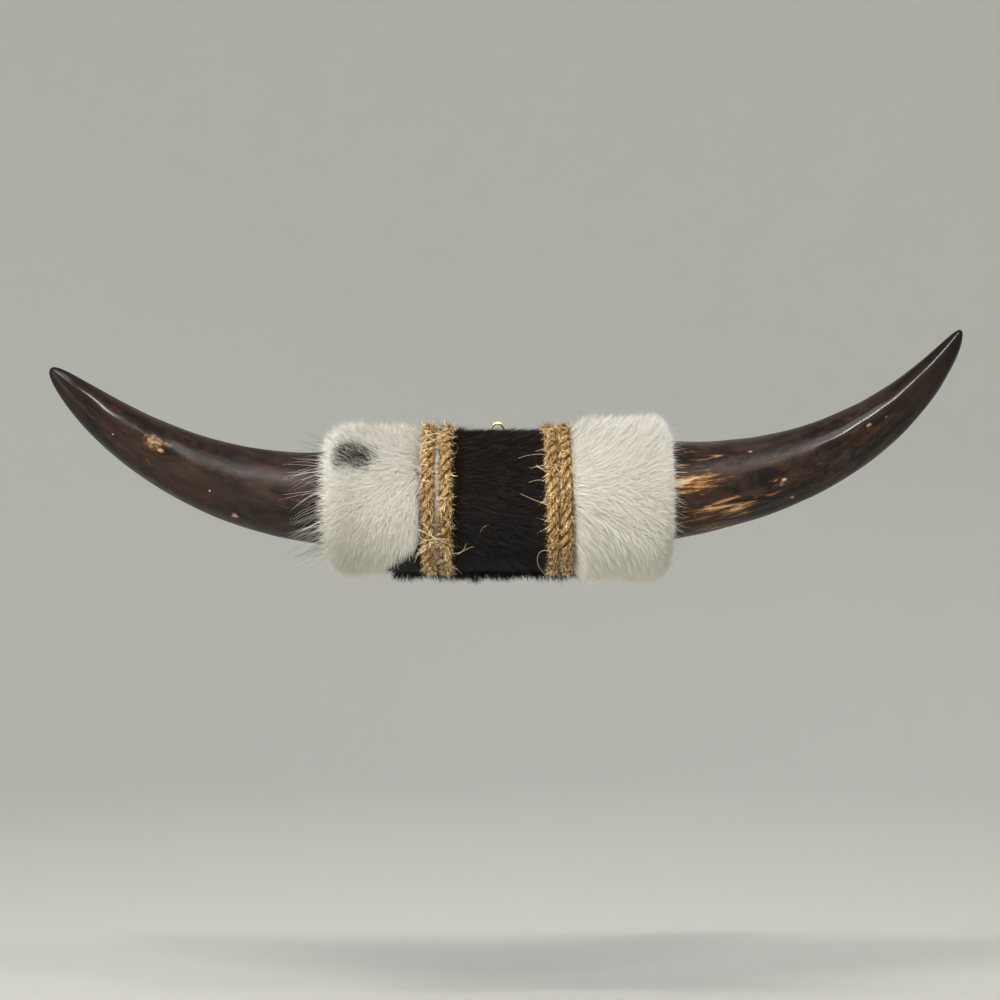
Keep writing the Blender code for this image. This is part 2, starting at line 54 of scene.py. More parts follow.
# The block, the hides, the ropes and the horns, as the solids have them. A rope has its middle and its
# lean, and a horn its length, the radius and height of its base, in millimetres, and its bends in degrees.
BLOCK_HALF_LENGTH = 109 * MM
BLOCK_REACH = 36 * MM
AXIS_Y = -34 * MM
PEG_LENGTH = 35 * MM
PEG_RADII = (23 * MM, 19 * MM)
GAP = 0.3 * MM
HIDE_REAR_Y = -7.2 * MM
HIDE_JOINT = 35.4 * MM
TAIL_HALF_WIDTH = 67 * MM
TAIL_FRONT_Y = -6.9 * MM
TAIL_REAR_Y = -4.4 * MM
TAIL_HEM_Z = -49.5 * MM
ROPE_RADIUS = 4.0 * MM
ROPE_END_Y = -7.5 * MM
ROPE_DEPTH = 4.8 * MM + 2 * GAP + ROPE_RADIUS
ROPES = {
    "rope_left_outer": (-44.5, 0.0),
    "rope_left_inner": (-33.3, 0.0),
    "rope_right_inner": (35.2, 1.4),
    "rope_right_outer": (44.0, 1.0),
}
HORNS = {
    "left": {
        "side": -1,
        "length": 198.2,
        "base_radius": 30.6,
        "base_z": 1.3,
        "bends": (2.0, 48.9),
        "bend_power": 0.975,
        "taper": (1.0, 0.5),
    },
    "right": {
        "side": 1,
        "length": 221.2,
        "base_radius": 33.2,
        "base_z": 6.6,
        "bends": (5.0, 62.7),
        "bend_power": 1.377,
        "taper": (0.8, 0.537),
    },
}
HORN_BEND_START = 114.3 * MM
HORN_FORWARD = 30 * MM

# Worn and clear patches: the centre around, up and along the horn, the size in the same way, and how
# strongly each shows.
LEFT_MARKS = {
    "streaky": (
        ((-0.96, -0.27, 0.5), (0.6, 0.3, 0.8), 0.26),
        ((-0.94, 0.3, 3.3), (0.5, 0.3, 1.0), 0.16),
    ),
    "blotchy": (
        ((-0.99, 0.16, 3.97), (0.8, 0.46, 0.42), 0.44),
        ((-0.99, 0.04, 3.74), (0.5, 0.15, 0.15), 0.52),
        ((-0.96, 0.3, 3.72), (0.5, 0.16, 0.40), 0.34),
        ((-0.86, -0.48, 3.87), (0.5, 0.2, 0.22), 0.34),
        ((-0.62, -0.78, 1.78), (0.3, 0.12, 0.14), 0.55),
        ((-0.92, -0.40, 2.42), (0.2, 0.05, 0.035), 0.8),
        ((-0.90, -0.44, 4.78), (0.2, 0.05, 0.03), 0.7),
    ),
}
RIGHT_MARKS = {
    "streaky": (
        ((0.99, 0.11, 0.30), (0.8, 0.36, 1.2), 0.68),
        ((0.79, -0.58, 0.9), (0.8, 0.40, 1.9), 0.58),
        ((0.59, -0.85, 0.5), (0.8, 0.35, 1.7), 0.36),
        ((0.8, 0.6, 0.3), (0.8, 0.45, 1.5), 0.30),
        ((0.9, 0.2, 2.6), (0.8, 0.3, 1.2), 0.24),
    ),
    "blotchy": (
        ((0.95, -0.27, 2.42), (0.4, 0.07, 0.10), 0.62),
        ((0.95, -0.34, 2.36), (0.4, 0.20, 0.34), 0.32),
        ((0.95, -0.20, 2.20), (0.4, 0.10, 0.30), 0.32),
        ((0.62, -0.78, 2.48), (0.4, 0.08, 0.10), 0.5),
        ((0.71, -0.70, 2.93), (0.4, 0.10, 0.12), 0.36),
        ((0.77, 0.64, 1.86), (0.3, 0.035, 0.09), 0.6),
        ((1.0, 0.05, 4.58), (0.4, 0.10, 0.13), 0.46),
        ((0.99, -0.1, 4.99), (0.4, 0.07, 0.06), 0.42),
    ),
}
HORN_RINGS = 240
HORN_SIDES = 96
GRAIN_STEP = 30 * MM


def node(tree, kind, inputs=None, **settings):
    """Adds a node, with a value or a linked socket for each of its inputs that is given."""
    made = tree.nodes.new(kind)
    for name, value in settings.items():
        setattr(made, name, value)
    for key, value in (inputs or {}).items():
        if isinstance(value, bpy.types.NodeSocket):
            tree.links.new(value, made.inputs[key])
        else:
            made.inputs[key].default_value = value
    return made


def output(tree, kind, inputs=None, **settings):
    """Adds a node and returns its first output."""
    return node(tree, kind, inputs, **settings).outputs[0]


def maths(tree, operation, *values):
    return output(tree, "ShaderNodeMath", dict(enumerate(values)), operation=operation)


def vector(tree, operation, *values):
    made = node(tree, "ShaderNodeVectorMath", operation=operation)
    for i, value in enumerate(values):
        socket = made.inputs["Scale"] if operation == "SCALE" and i == 1 else made.inputs[i]
        if isinstance(value, bpy.types.NodeSocket):
            tree.links.new(value, socket)
        else:
            socket.default_value = value
    return made.outputs["Value" if operation in ("LENGTH", "DOT_PRODUCT", "DISTANCE") else "Vector"]


def total(tree, *vectors):
    result = vectors[0]
    for other in vectors[1:]:
        result = vector(tree, "ADD", result, other)
    return result


def parts(tree, value):
    """The X, Y and Z of a vector."""
    return node(tree, "ShaderNodeSeparateXYZ", {0: value}).outputs


def position(tree):
    return output(tree, "GeometryNodeInputPosition")


def fraction(tree, value, low, high, to_low=0.0, to_high=1.0):
    inputs = {"Value": value, "From Min": low, "From Max": high, "To Min": to_low, "To Max": to_high}
    return output(tree, "ShaderNodeMapRange", inputs)


def ramp(tree, value, stops):
    made = node(tree, "ShaderNodeValToRGB", {"Fac": value})
    elements = made.color_ramp.elements
    while len(elements) < len(stops):
        elements.new(0.5)
    for element, (place, colour) in zip(elements, stops):
        element.position = place
        element.color = (*colour, 1.0) if len(colour) == 3 else colour
    return made.outputs["Color"]


def mix_colour(tree, factor, a, b, blend="MIX"):
    made = node(tree, "ShaderNodeMix", data_type="RGBA", blend_type=blend)
    for socket, value in ((made.inputs[0], factor), (made.inputs[6], a), (made.inputs[7], b)):
        if isinstance(value, bpy.types.NodeSocket):
            tree.links.new(value, socket)
        else:
            socket.default_value = (*value, 1.0) if isinstance(value, tuple) and len(value) == 3 else value
    return made.outputs[2]


def noise_value(tree, place, scale, detail=4.0, roughness=0.55, distortion=0.0, key="Fac"):
    inputs = {"Vector": place, "Scale": scale, "Detail": detail}
    inputs |= {"Roughness": roughness, "Distortion": distortion}
    return node(tree, "ShaderNodeTexNoise", inputs).outputs[key]


def stretched(tree, place, scale):
    return output(tree, "ShaderNodeMapping", {"Vector": place, "Scale": scale})


def attribute(tree, name, kind="Fac"):
    return node(tree, "ShaderNodeAttribute", attribute_name=name).outputs[kind]


def new_material(name):
    made = bpy.data.materials.new(name)
    made.use_nodes = True
    tree = made.node_tree
    shader = tree.nodes["Principled BSDF"]
    return made, tree, shader


def add_bump(tree, shader, height, strength, distance):
    bump = output(tree, "ShaderNodeBump", {"Height": height, "Strength": strength, "Distance": distance})
    tree.links.new(bump, shader.inputs["Normal"])


def object_place(tree):
    return node(tree, "ShaderNodeTexCoord").outputs["Object"]


def around_block(share, depth, rear=HIDE_REAR_Y):
    """The (y, z) point a share of the way round the block, from its top rear over the front to its
    bottom rear, at a depth outside its surface, and the directions out of and along the surface."""
    top = rear - AXIS_Y
    front = math.pi * BLOCK_REACH
    run = share * (2 * top + front)
    reach = BLOCK_REACH + depth
    if run < top:
        return (rear - run, reach), (0.0, 1.0), (-1.0, 0.0)
    if run > top + front:
        return (AXIS_Y + run - top - front, -reach), (0.0, -1.0), (1.0, 0.0)
    angle = (run - top) / BLOCK_REACH
    sine, cosine = math.sin(angle), math.cos(angle)
    return (AXIS_Y - reach * sine, reach * cosine), (-sine, cosine), (-cosine, -sine)


def horn_line(horn, steps):
    """The horn's centreline as (point, radius, share) from base to tip."""
    length = horn["length"] * MM
    low, high = (math.radians(b) for b in horn["bends"])
    x, z = HORN_BEND_START, horn["base_z"] * MM
    line = []
    substeps = 4
    for i in range(steps + 1):
        share = 0.9985 * (1 - (1 - i / steps) ** 1.25)
        radius = horn["base_radius"] * MM * (1 - share ** horn["taper"][0]) ** horn["taper"][1]
        if line:
            step = (share - line[-1][2]) * length / substeps
            for k in range(substeps):
                at = line[-1][2] + (share - line[-1][2]) * (k + 0.5) / substeps
                bend = low + (high - low) * at ** horn["bend_power"]
                x += step * math.cos(bend)
                z += step * math.sin(bend)
        line.append((Vector((horn["side"] * x, AXIS_Y - HORN_FORWARD * share**2, z)), radius, share))
    start = BLOCK_HALF_LENGTH + GAP
    base = Vector((horn["side"] * start, AXIS_Y, horn["base_z"] * MM))
    return [(base, horn["base_radius"] * MM, (start - HORN_BEND_START) / length)] + line


def finish_mesh(name, mesh, finish, replaced=(), body=BODY, smooth=True):
    """Shows a finished mesh as a piece that rides on a body."""
    mesh.materials.clear()
    mesh.materials.append(finish)
    if smooth:
        mesh.shade_smooth()
    piece = bpy.data.objects.new(name, mesh)
    bpy.context.scene.collection.objects.link(piece)
    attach(piece, body)
    if replaced:
        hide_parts(*replaced)
    return piece


def mesh_of(name, points, faces):
    mesh = bpy.data.meshes.new(name)
    mesh.from_pydata([tuple(p) for p in points], [], faces)
    mesh.update()
    return mesh


def put_attribute(mesh, name, kind, values):
    layer = mesh.attributes.new(name, kind, "POINT")
    flat = np.asarray(values, dtype=np.float32).ravel()
    layer.data.foreach_set("vector" if kind == "FLOAT_VECTOR" else "value", flat)


def horn_mesh(name, horn):
    """A smooth horn with faint rasped planes, dents and growth rings, hollow at its base for the peg."""
    side = horn["side"]
    line = horn_line(horn, HORN_RINGS)
    points, places = [], []
    for i, (centre, radius, share) in enumerate(line):
        ahead = line[min(i + 1, len(line) - 1)][0] - line[max(i - 1, 0)][0]
        along = Vector((side, 0, 0)) if i == 0 else ahead.normalized()
        up = (Vector((0, 0, 1)) - along * along.z).normalized()
        across = along.cross(up)
        run = share * horn["length"] * MM
        for k in range(HORN_SIDES):
            angle = 2 * math.pi * k / HORN_SIDES
            cosine, sine = math.cos(angle), math.sin(angle)
            out = across * cosine + up * sine
            ring = 0.5 + 0.5 * math.sin(run * 900 + 3 * noise.noise(Vector((run * 60, 1.7, side))))
            planes = noise.noise(Vector((cosine * 2.1, sine * 2.1, run * 14 + 5 * side)))
            dents = noise.noise(centre * 55 + out * 1.4)
            relief = 0.38 * planes + 0.30 * dents + 0.03 * ring * max(0.0, 1 - share * 2.2)
            fade = min(1.0, radius / (6 * MM))
            points.append(centre + out * (radius + (relief - 0.25) * MM * fade))
            places.append((cosine, sine, run / GRAIN_STEP))
    count = HORN_SIDES
    faces = []
    last = (len(line) - 1) * count
    for i in range(len(line) - 1):
        for k in range(count):
            j = (k + 1) % count
            a, b = i * count + k, i * count + j
            faces.append((a, b, b + count, a + count))
    points.append(line[-1][0] + (line[-1][0] - line[-2][0]) * 0.4)
    places.append((0, 0, places[-1][2]))
    faces += [(last + k, last + (k + 1) % count, len(points) - 1) for k in range(count)]
    previous = 0
    for radius, x in (
        (PEG_RADII[0] + GAP, BLOCK_HALF_LENGTH + GAP),
        (PEG_RADII[1] + GAP, BLOCK_HALF_LENGTH + PEG_LENGTH + GAP),
    ):
        start = len(points)
        for k in range(count):
            angle = 2 * math.pi * k / count
            across = Vector((side, 0, 0)).cross(Vector((0, 0, 1)))
            out = across * math.cos(angle) + Vector((0, 0, 1)) * math.sin(angle)
            points.append(Vector((side * x, AXIS_Y, horn["base_z"] * MM)) + out * radius)
            places.append((math.cos(angle), math.sin(angle), 0))
        for k in range(count):
            j = (k + 1) % count
            faces.append((start + k, start + j, previous + j, previous + k))
        previous = start
    points.append(Vector((side * (BLOCK_HALF_LENGTH + PEG_LENGTH + GAP), AXIS_Y, horn["base_z"] * MM)))
    places.append((0, 0, 0))
    faces += [(len(points) - 1, previous + (k + 1) % count, previous + k) for k in range(count)]
    mesh = mesh_of(name, points, faces)
    put_attribute(mesh, "grain", "FLOAT_VECTOR", places)
    face_outwards(mesh)
    return mesh


def face_outwards(mesh):
    shape = bmesh.new()
    shape.from_mesh(mesh)
    bmesh.ops.recalc_face_normals(shape, faces=shape.faces)
    shape.to_mesh(mesh)
    shape.free()


# The lacquer's roughness where only one value can be given. In the material it falls towards the tip.
COAT_ROUGHNESS = 0.22


def marked(tree, grain, marks):
    """How strongly the horn's marks show at a point. Each has a centre and a size, both around, up and
    along the horn, and an amount."""
    result = 0.0
    for centre, size, amount in marks:
        away = vector(tree, "DIVIDE", vector(tree, "SUBTRACT", grain, centre), size)
        near = fraction(tree, vector(tree, "LENGTH", away), 1.0, 0.25, 0.0, amount)
        result = maths(tree, "MAXIMUM", near, result)
    return result


def horn_material(name, settings, marks):
    """Polished horn: nearly black, with reddish and grey clouds, fine streaks that run along it, and
    pale patches where the dark outer layer is worn through."""
    made, tree, shader = new_material(name)
    grain = attribute(tree, "grain", "Vector")
    run = parts(tree, grain)[2]
    fine = noise_value(tree, stretched(tree, grain, (6.5, 6.5, 1.0)), 1.6, 8, 0.64, 0.5)
    chipped = noise_value(tree, stretched(tree, grain, (7, 7, 6)), 1.5, 6, 0.65)
    broad = noise_value(tree, stretched(tree, grain, (1.3, 1.3, 0.7)), 1.3, 4, 0.55, 0.6)
    mottle = noise_value(tree, stretched(tree, grain, (2.4, 2.4, 1.5)), 1.5, 7, 0.6, 0.9)
    cloud = noise_value(tree, stretched(tree, grain, (1.5, 1.5, 0.9)), 2.3, 4, 0.5, 0.3)
    body = mix_colour(tree, fraction(tree, broad, 0.42, 0.58), tuple(settings.dark), tuple(settings.brown))
    body = mix_colour(tree, fraction(tree, mottle, 0.50, 0.66, 0.0, 0.8), body, tuple(settings.red))
    body = mix_colour(tree, fraction(tree, cloud, 0.50, 0.72, 0.0, 0.75), body, tuple(settings.grey))
    body = mix_colour(tree, fraction(tree, fine, 0.53, 0.72, 0.0, 0.32), body, tuple(settings.streak))
    dark_lines = fraction(tree, fine, 0.46, 0.34, 0.0, 0.4)
    body = mix_colour(tree, dark_lines, body, tuple(settings.tip))
    amber, cream = tuple(settings.amber), tuple(settings.cream)
    rust = (amber[0] * 0.38, amber[1] * 0.28, amber[2] * 0.3)
    tan, bone = (0.25, 0.155, 0.075), (0.46, 0.40, 0.31)
    for kind, pattern, gain, low, high, stops in (
        ("streaky", fine, 2.2, 1.46, 1.80, [(0.51, rust), (0.60, amber), (0.69, cream)]),
        ("blotchy", chipped, 0.9, 0.68, 0.92, [(0.42, rust), (0.54, tan), (0.68, bone)]),
    ):
        if not marks[kind]:
            continue
        shown = marked(tree, grain, marks[kind])
        shown = maths(tree, "ADD", maths(tree, "MULTIPLY", pattern, gain), shown)
        tint = ramp(tree, maths(tree, "MULTIPLY", shown, 0.35 if kind == "streaky" else 0.6), stops)
        body = mix_colour(tree, fraction(tree, shown, low, high), body, tint)
    body = mix_colour(tree, fraction(tree, run, 4.6, 7.0, 0.0, 0.85), body, tuple(settings.tip))
    specks = noise_value(tree, stretched(tree, grain, (6, 6, 6)), 3.3, 2, 0.5)
    body = mix_colour(tree, fraction(tree, specks, 0.775, 0.79, 0.0, 0.7), body, cream)
    tree.links.new(body, shader.inputs["Base Color"])
    smear = noise_value(tree, stretched(tree, grain, (4, 4, 1.4)), 1.7, 5, 0.6)
    rough = settings.roughness
    tree.links.new(fraction(tree, smear, 0.3, 0.75, rough * 0.8, rough * 1.35), shader.inputs["Roughness"])
    shader.inputs["Specular IOR Level"].default_value = 0.05
    shader.inputs["Coat Weight"].default_value = 0.3
    coat = shader.inputs["Coat Roughness"]
    coat.default_value = COAT_ROUGHNESS
    tree.links.new(fraction(tree, run, 2.9, 3.6, 0.42, 0.13), coat)
    scratches = noise_value(tree, stretched(tree, grain, (60, 60, 2.0)), 1.0, 4, 0.6)
    pits = noise_value(tree, stretched(tree, grain, (12, 12, 9)), 1.0, 5, 0.6)
    height = maths(tree, "ADD", maths(tree, "MULTIPLY", scratches, 0.35), pits)
    add_bump(tree, shader, height, 0.3, 0.0005)
    return made


def hair_tree():
    """Grows hair from a skin. The skin's attributes say which way each hair lies and how long it is."""
    tree = bpy.data.node_groups.new("hair_growth", "GeometryNodeTree")
    face = tree.interface
    face.new_socket("Geometry", in_out="INPUT", socket_type="NodeSocketGeometry")
    for name, default in (
        ("Density", 1.0e6),
        ("Length", 0.02),
        ("Width", 0.0003),
        ("Tuft Size", 0.006),
        ("Tuft Pull", 0.5),
        ("Tuft Turn", 0.4),
        ("Waviness", 0.001),
        ("Stray", 0.2),
        ("Droop", 0.2),
        ("Start Lift", 0.9),
        ("End Lift", 0.3),
        ("Facing Spread", 0.75),
    ):
        face.new_socket(name, in_out="INPUT", socket_type="NodeSocketFloat").default_value = default
    face.new_socket("Seed", in_out="INPUT", socket_type="NodeSocketInt").default_value = 1
    face.new_socket("Segments", in_out="INPUT", socket_type="NodeSocketInt").default_value = 4
    face.new_socket("Finish", in_out="INPUT", socket_type="NodeSocketMaterial")
    face.new_socket("Geometry", in_out="OUTPUT", socket_type="NodeSocketGeometry")
    given = node(tree, "NodeGroupInput").outputs

    density = maths(tree, "MULTIPLY", given["Density"], named(tree, "thickness", "FLOAT"))
    inputs = {"Mesh": given["Geometry"], "Seed": given["Seed"], "Density": density}
    spread = node(tree, "GeometryNodeDistributePointsOnFaces", inputs, distribute_method="RANDOM")
    points = keep(tree, spread.outputs["Points"], "root", "FLOAT_VECTOR", position(tree))
    points = keep(tree, points, "out", "FLOAT_VECTOR", spread.outputs["Normal"])
    for i, name in enumerate(("chance_a", "chance_b")):
        inputs = {0: (-1.0, -1.0, -1.0), 1: (1.0, 1.0, 1.0), "Seed": 11 + i}
        chance = output(tree, "FunctionNodeRandomValue", inputs, data_type="FLOAT_VECTOR")
        points = keep(tree, points, name, "FLOAT_VECTOR", chance)

    luck = parts(tree, named(tree, "chance_a", "FLOAT_VECTOR"))[1]
    tone = maths(tree, "ADD", named(tree, "tone", "FLOAT"), maths(tree, "MULTIPLY", luck, 0.3))
    points = keep(tree, points, "tone", "FLOAT", tone)

    rows = maths(tree, "ADD", given["Segments"], 1.0)
    inputs = {"Size X": 1.0, "Size Y": 1.0, "Vertices X": 2, "Vertices Y": rows}
    strand = output(tree, "GeometryNodeMeshGrid", inputs)
    flat = parts(tree, position(tree))
    blade = keep(tree, strand, "along", "FLOAT", maths(tree, "ADD", flat[1], 0.5))
    blade = keep(tree, blade, "across", "FLOAT", flat[0])
    blade = moved(tree, blade, (0.0, 0.0, 0.0))

    grown = output(tree, "GeometryNodeInstanceOnPoints", {"Points": points, "Instance": blade})
    grown = output(tree, "GeometryNodeRealizeInstances", {"Geometry": grown})
    grown = moved(tree, grown, strand_place(tree, given))
    grown = output(tree, "GeometryNodeSetShadeSmooth", {"Geometry": grown})
    grown = output(tree, "GeometryNodeSetMaterial", {"Geometry": grown, "Material": given["Finish"]})
    tree.links.new(grown, node(tree, "NodeGroupOutput").inputs[0])
    return tree


def moved(tree, geometry, place):
    return output(tree, "GeometryNodeSetPosition", {"Geometry": geometry, "Position": place})


def named(tree, name, kind):
    return output(tree, "GeometryNodeInputNamedAttribute", {"Name": name}, data_type=kind)


def keep(tree, geometry, name, kind, value):
    inputs = {"Geometry": geometry, "Name": name, "Value": value}
    return output(tree, "GeometryNodeStoreNamedAttribute", inputs, data_type=kind, domain="POINT")


def strand_place(tree, given):
    """Where each point of each hair goes: out of the skin, bending to lie along it, drawn to its tuft."""
    root = named(tree, "root", "FLOAT_VECTOR")
    out = named(tree, "out", "FLOAT_VECTOR")
    chance_a = named(tree, "chance_a", "FLOAT_VECTOR")
    chance_b = named(tree, "chance_b", "FLOAT_VECTOR")
    flow = named(tree, "flow", "FLOAT_VECTOR")
    drift = named(tree, "drift", "FLOAT_VECTOR")
    lift = named(tree, "lift", "FLOAT")
    along = named(tree, "along", "FLOAT")
    across = named(tree, "across", "FLOAT")

    def scaled(direction, amount):
        return vector(tree, "SCALE", direction, amount)

    def times(a, b):
        return maths(tree, "MULTIPLY", a, b)

    grain = {"Vector": root, "Scale": maths(tree, "DIVIDE", 1.0, given["Tuft Size"])}
    tuft = node(tree, "ShaderNodeTexVoronoi", grain, feature="F1").outputs
    turn = vector(tree, "SUBTRACT", tuft["Color"], (0.5, 0.5, 0.5))
    loose = named(tree, "loose", "FLOAT")
    turn = scaled(scaled(turn, given["Tuft Turn"]), loose)
    stray = scaled(chance_a, times(given["Stray"], loose))
    start = total(tree, flow, scaled(out, times(given["Start Lift"], lift)), turn, stray)
    start = vector(tree, "NORMALIZE", start)
    raised = scaled(out, times(given["End Lift"], lift))
    fall = output(tree, "ShaderNodeCombineXYZ", {"Z": times(given["Droop"], -1.0)})
    finish = total(tree, drift, raised, scaled(turn, 1.6), scaled(stray, 1.5), fall)
    finish = vector(tree, "NORMALIZE", finish)
    half_square = times(times(along, along), 0.5)
    early = maths(tree, "SUBTRACT", along, half_square)
    path = vector(tree, "ADD", scaled(start, early), scaled(finish, half_square))
    length = times(given["Length"], named(tree, "reach", "FLOAT"))
    length = times(length, fraction(tree, parts(tree, chance_b)[0], -1.0, 1.0, 0.62, 1.12))
    path = scaled(path, length)

    pull = vector(tree, "SUBTRACT", tuft["Position"], root)
    pull = vector(tree, "SUBTRACT", pull, scaled(out, vector(tree, "DOT_PRODUCT", pull, out)))
    pull = scaled(pull, times(maths(tree, "POWER", along, 1.5), given["Tuft Pull"]))

    shift = output(tree, "ShaderNodeCombineXYZ", {"X": times(along, 1.6)})
    wander = vector(tree, "ADD", scaled(chance_b, 7.0), shift)
    wave = noise_value(tree, wander, 1.0, 1.0, 0.5, key="Color")
    wave = vector(tree, "SUBTRACT", wave, (0.5, 0.5, 0.5))
    wave = scaled(wave, times(given["Waviness"], along))

    facing = vector(tree, "ADD", out, scaled(chance_b, given["Facing Spread"]))
    ahead = vector(tree, "ADD", start, scaled(vector(tree, "SUBTRACT", finish, start), along))
    beside = vector(tree, "NORMALIZE", vector(tree, "CROSS_PRODUCT", ahead, facing))
    taper = maths(tree, "SUBTRACT", 1.0, times(maths(tree, "POWER", along, 2.0), 0.85))
    width = times(times(across, given["Width"]), taper)
    place = parts(tree, total(tree, root, path, pull, wave, scaled(beside, width)))
    before_wall = maths(tree, "MINIMUM", place[1], -GAP)
    return output(tree, "ShaderNodeCombineXYZ", {"X": place[0], "Y": before_wall, "Z": place[2]})


LIE = {
    "flow": "FLOAT_VECTOR",
    "drift": "FLOAT_VECTOR",
    "lift": "FLOAT",
    "reach": "FLOAT",
    "thickness": "FLOAT",
    "loose": "FLOAT",
    "tone": "FLOAT",
}
SPARE = ("root", "out", "chance_a", "chance_b", "across") + tuple(key for key in LIE if key != "tone")


def run_tree(name, tree, skin, inputs, keeping=()):
    """Runs a node tree on a mesh and returns the result as a plain mesh. An input is given by its name
    in lower case, with _ for each space."""
    carrier = bpy.data.objects.new(name, skin)
    bpy.context.scene.collection.objects.link(carrier)
    modifier = carrier.modifiers.new("growth", "NODES")
    modifier.node_group = tree
    for item in tree.interface.items_tree:
        key = item.name.lower().replace(" ", "_")
        if item.in_out == "INPUT" and key in inputs:
            modifier[item.identifier] = inputs[key]
    bpy.context.view_layer.update()
    evaluated = carrier.evaluated_get(bpy.context.evaluated_depsgraph_get())
    mesh = bpy.data.meshes.new_from_object(evaluated)
    carrier.modifiers.clear()
    bpy.data.objects.remove(carrier)
    mesh.name = name
    for spare in SPARE:
        layer = mesh.attributes.get(spare)
        if layer is not None and spare not in keeping:
            mesh.attributes.remove(layer)
    return mesh


def grow(name, skin, finish, inputs):
    """Shows the hair that grows from a skin."""
    tree = bpy.data.node_groups.get("hair_growth") or hair_tree()
    mesh = run_tree(name, tree, skin, inputs | {"finish": finish})
    finish_mesh(name, mesh, finish)


def skin_grid(columns, rows, placed):
    """A sheet of faces over a grid. placed(u, v) gives each point's place and its hair's attributes."""
    points, values = [], []
    for i in range(columns + 1):
        for j in range(rows + 1):
            place, about = placed(i / columns, j / rows)
            points.append(place)
            values.append(about)
    faces = []
    for i in range(columns):
        for j in range(rows):
            a = i * (rows + 1) + j
            faces.append((a, a + 1, a + rows + 2, a + rows + 1))
    mesh = mesh_of("skin", points, faces)
    for key, kind in LIE.items():
        put_attribute(mesh, key, kind, [v.get(key, 1.0) for v in values])
    return mesh


def smooth(value, low, high):
    share = min(1.0, max(0.0, (value - low) / (high - low)))
    return share * share * (3 - 2 * share)


def hair_material(name, colour, dark_colour, sheen, roughness, underside):
    """Cow hair. The tone attribute says how light each hair is. The roots are darker than the tips and the
    coat is darker towards the bottom: both are painted shade, from deep in the coat and from under the
    mount.
    """
    made, tree, shader = new_material(name)
    tone = attribute(tree, "tone")
    along = attribute(tree, "along")
    place = object_place(tree)
    patch = noise_value(tree, place, 55.0, 3, 0.5)
    light = mix_colour(tree, fraction(tree, patch, 0.3, 0.7), colour[0], colour[1])
    # Painted shade: the third colour darkens each hair towards its root, where the coat shades it.
    light = mix_colour(tree, fraction(tree, along, 0.0, 0.75), colour[2], light)
    strand = noise_value(tree, place, 900.0, 1, 0.5)
    light = mix_colour(tree, fraction(tree, strand, 0.35, 0.7, 0.0, 0.35), light, colour[3])
    height = parts(tree, place)[2]
    # Painted shade: the hair goes darker towards the bottom of the mount, away from the light above.
    # underside gives how strongly, and its colour.
    low = fraction(tree, height, 20 * MM, -40 * MM, 0.0, underside[0])
    light = mix_colour(tree, low, light, underside[1])
    body = mix_colour(tree, fraction(tree, tone, 0.42, 0.58), dark_colour, light)
    tree.links.new(body, shader.inputs["Base Color"])
    shader.inputs["Roughness"].default_value = roughness
    shader.inputs["Specular IOR Level"].default_value = 0.25
    shader.inputs["Sheen Weight"].default_value = sheen
    shader.inputs["Sheen Roughness"].default_value = 0.4
    return made


# The two white coats. The hair's length is that of the settings, times the coat's, times the share for
# the top, the front or the underside. The undercoat is as deep as it stands from the block.
COATS = {
    "left": {
        "times": 1.0,
        "shares": (0.86, 1.0, 0.84),
        "undercoat": 5.2 * MM,
        "shoulder_x": 94 * MM,
        "edge_x": 107.5 * MM,
        "hair": {"tuft_size": 0.004, "tuft_turn": 0.14, "start_lift": 1.25},
        "wisps": {"start_lift": 1.5},
        "wisp_times": 1.2,
        "wisp_beyond": 9 * MM,
        "fringe": {"density": 5.5e5, "length": 0.030},
        "fringe_sweep": 0.35,
        "fringe_tone": 0.5,
    },
    "right": {
        "times": 1.45,
        "shares": (0.78, 0.9, 0.72),
        "undercoat": 7.6 * MM,
        "shoulder_x": 103 * MM,
        "edge_x": 111.2 * MM,
        "hair": {"tuft_size": 0.005, "tuft_turn": 0.08, "start_lift": 1.2},
        "wisps": {"start_lift": 1.15},
        "wisp_times": 1.0,
        "wisp_beyond": 5 * MM,
        "fringe": {"density": 3.6e5, "length": 0.014},
        "fringe_sweep": 0.15,
        "fringe_tone": 0.75,
    },
}
PRESSED = 2.6 * MM
RIM_X = 109.9 * MM
COAT_COLUMNS = 40
HAIR_BEYOND = 2.5 * MM


def rope_side(word, z):
    """How far from the mount's middle the white coat starts, clear of the outer rope."""
    middle, lean = ROPES[f"rope_{word}_outer"]
    return (abs(middle) - lean * z / (BLOCK_REACH + ROPE_DEPTH)) * MM + ROPE_RADIUS + 0.6 * MM


def coat_point(word, u, share):
    """A point on the felted undercoat, from the ropes (u = 0) to where it meets the horn (u = 1), how
    far it is over the end of the block, and the direction away from the horn's middle."""
    horn = HORNS[word]
    centre = Vector((0, AXIS_Y, horn["base_z"] * MM))
    rear = smooth(0.5 - abs(share - 0.5), 0.0, 0.1)
    depth = PRESSED + (COATS[word]["undercoat"] - PRESSED) * rear
    (y, z), _, _ = around_block(share, depth)
    coat = Vector((0, y, z))
    away = (coat - centre).normalized()
    rim = centre + away * (horn["base_radius"] * MM + 0.5 * MM)
    near = rope_side(word, z)
    bend = max(0.0, (u - 0.8) / 0.2) * math.pi / 2
    place = rim + (coat - rim) * math.cos(bend)
    shoulder = COATS[word]["shoulder_x"]
    x = near + (shoulder - near) * min(1.0, u / 0.8) + (RIM_X + 0.6 * MM - shoulder) * math.sin(bend)
    place.x = horn["side"] * x
    return place, math.sin(bend), away


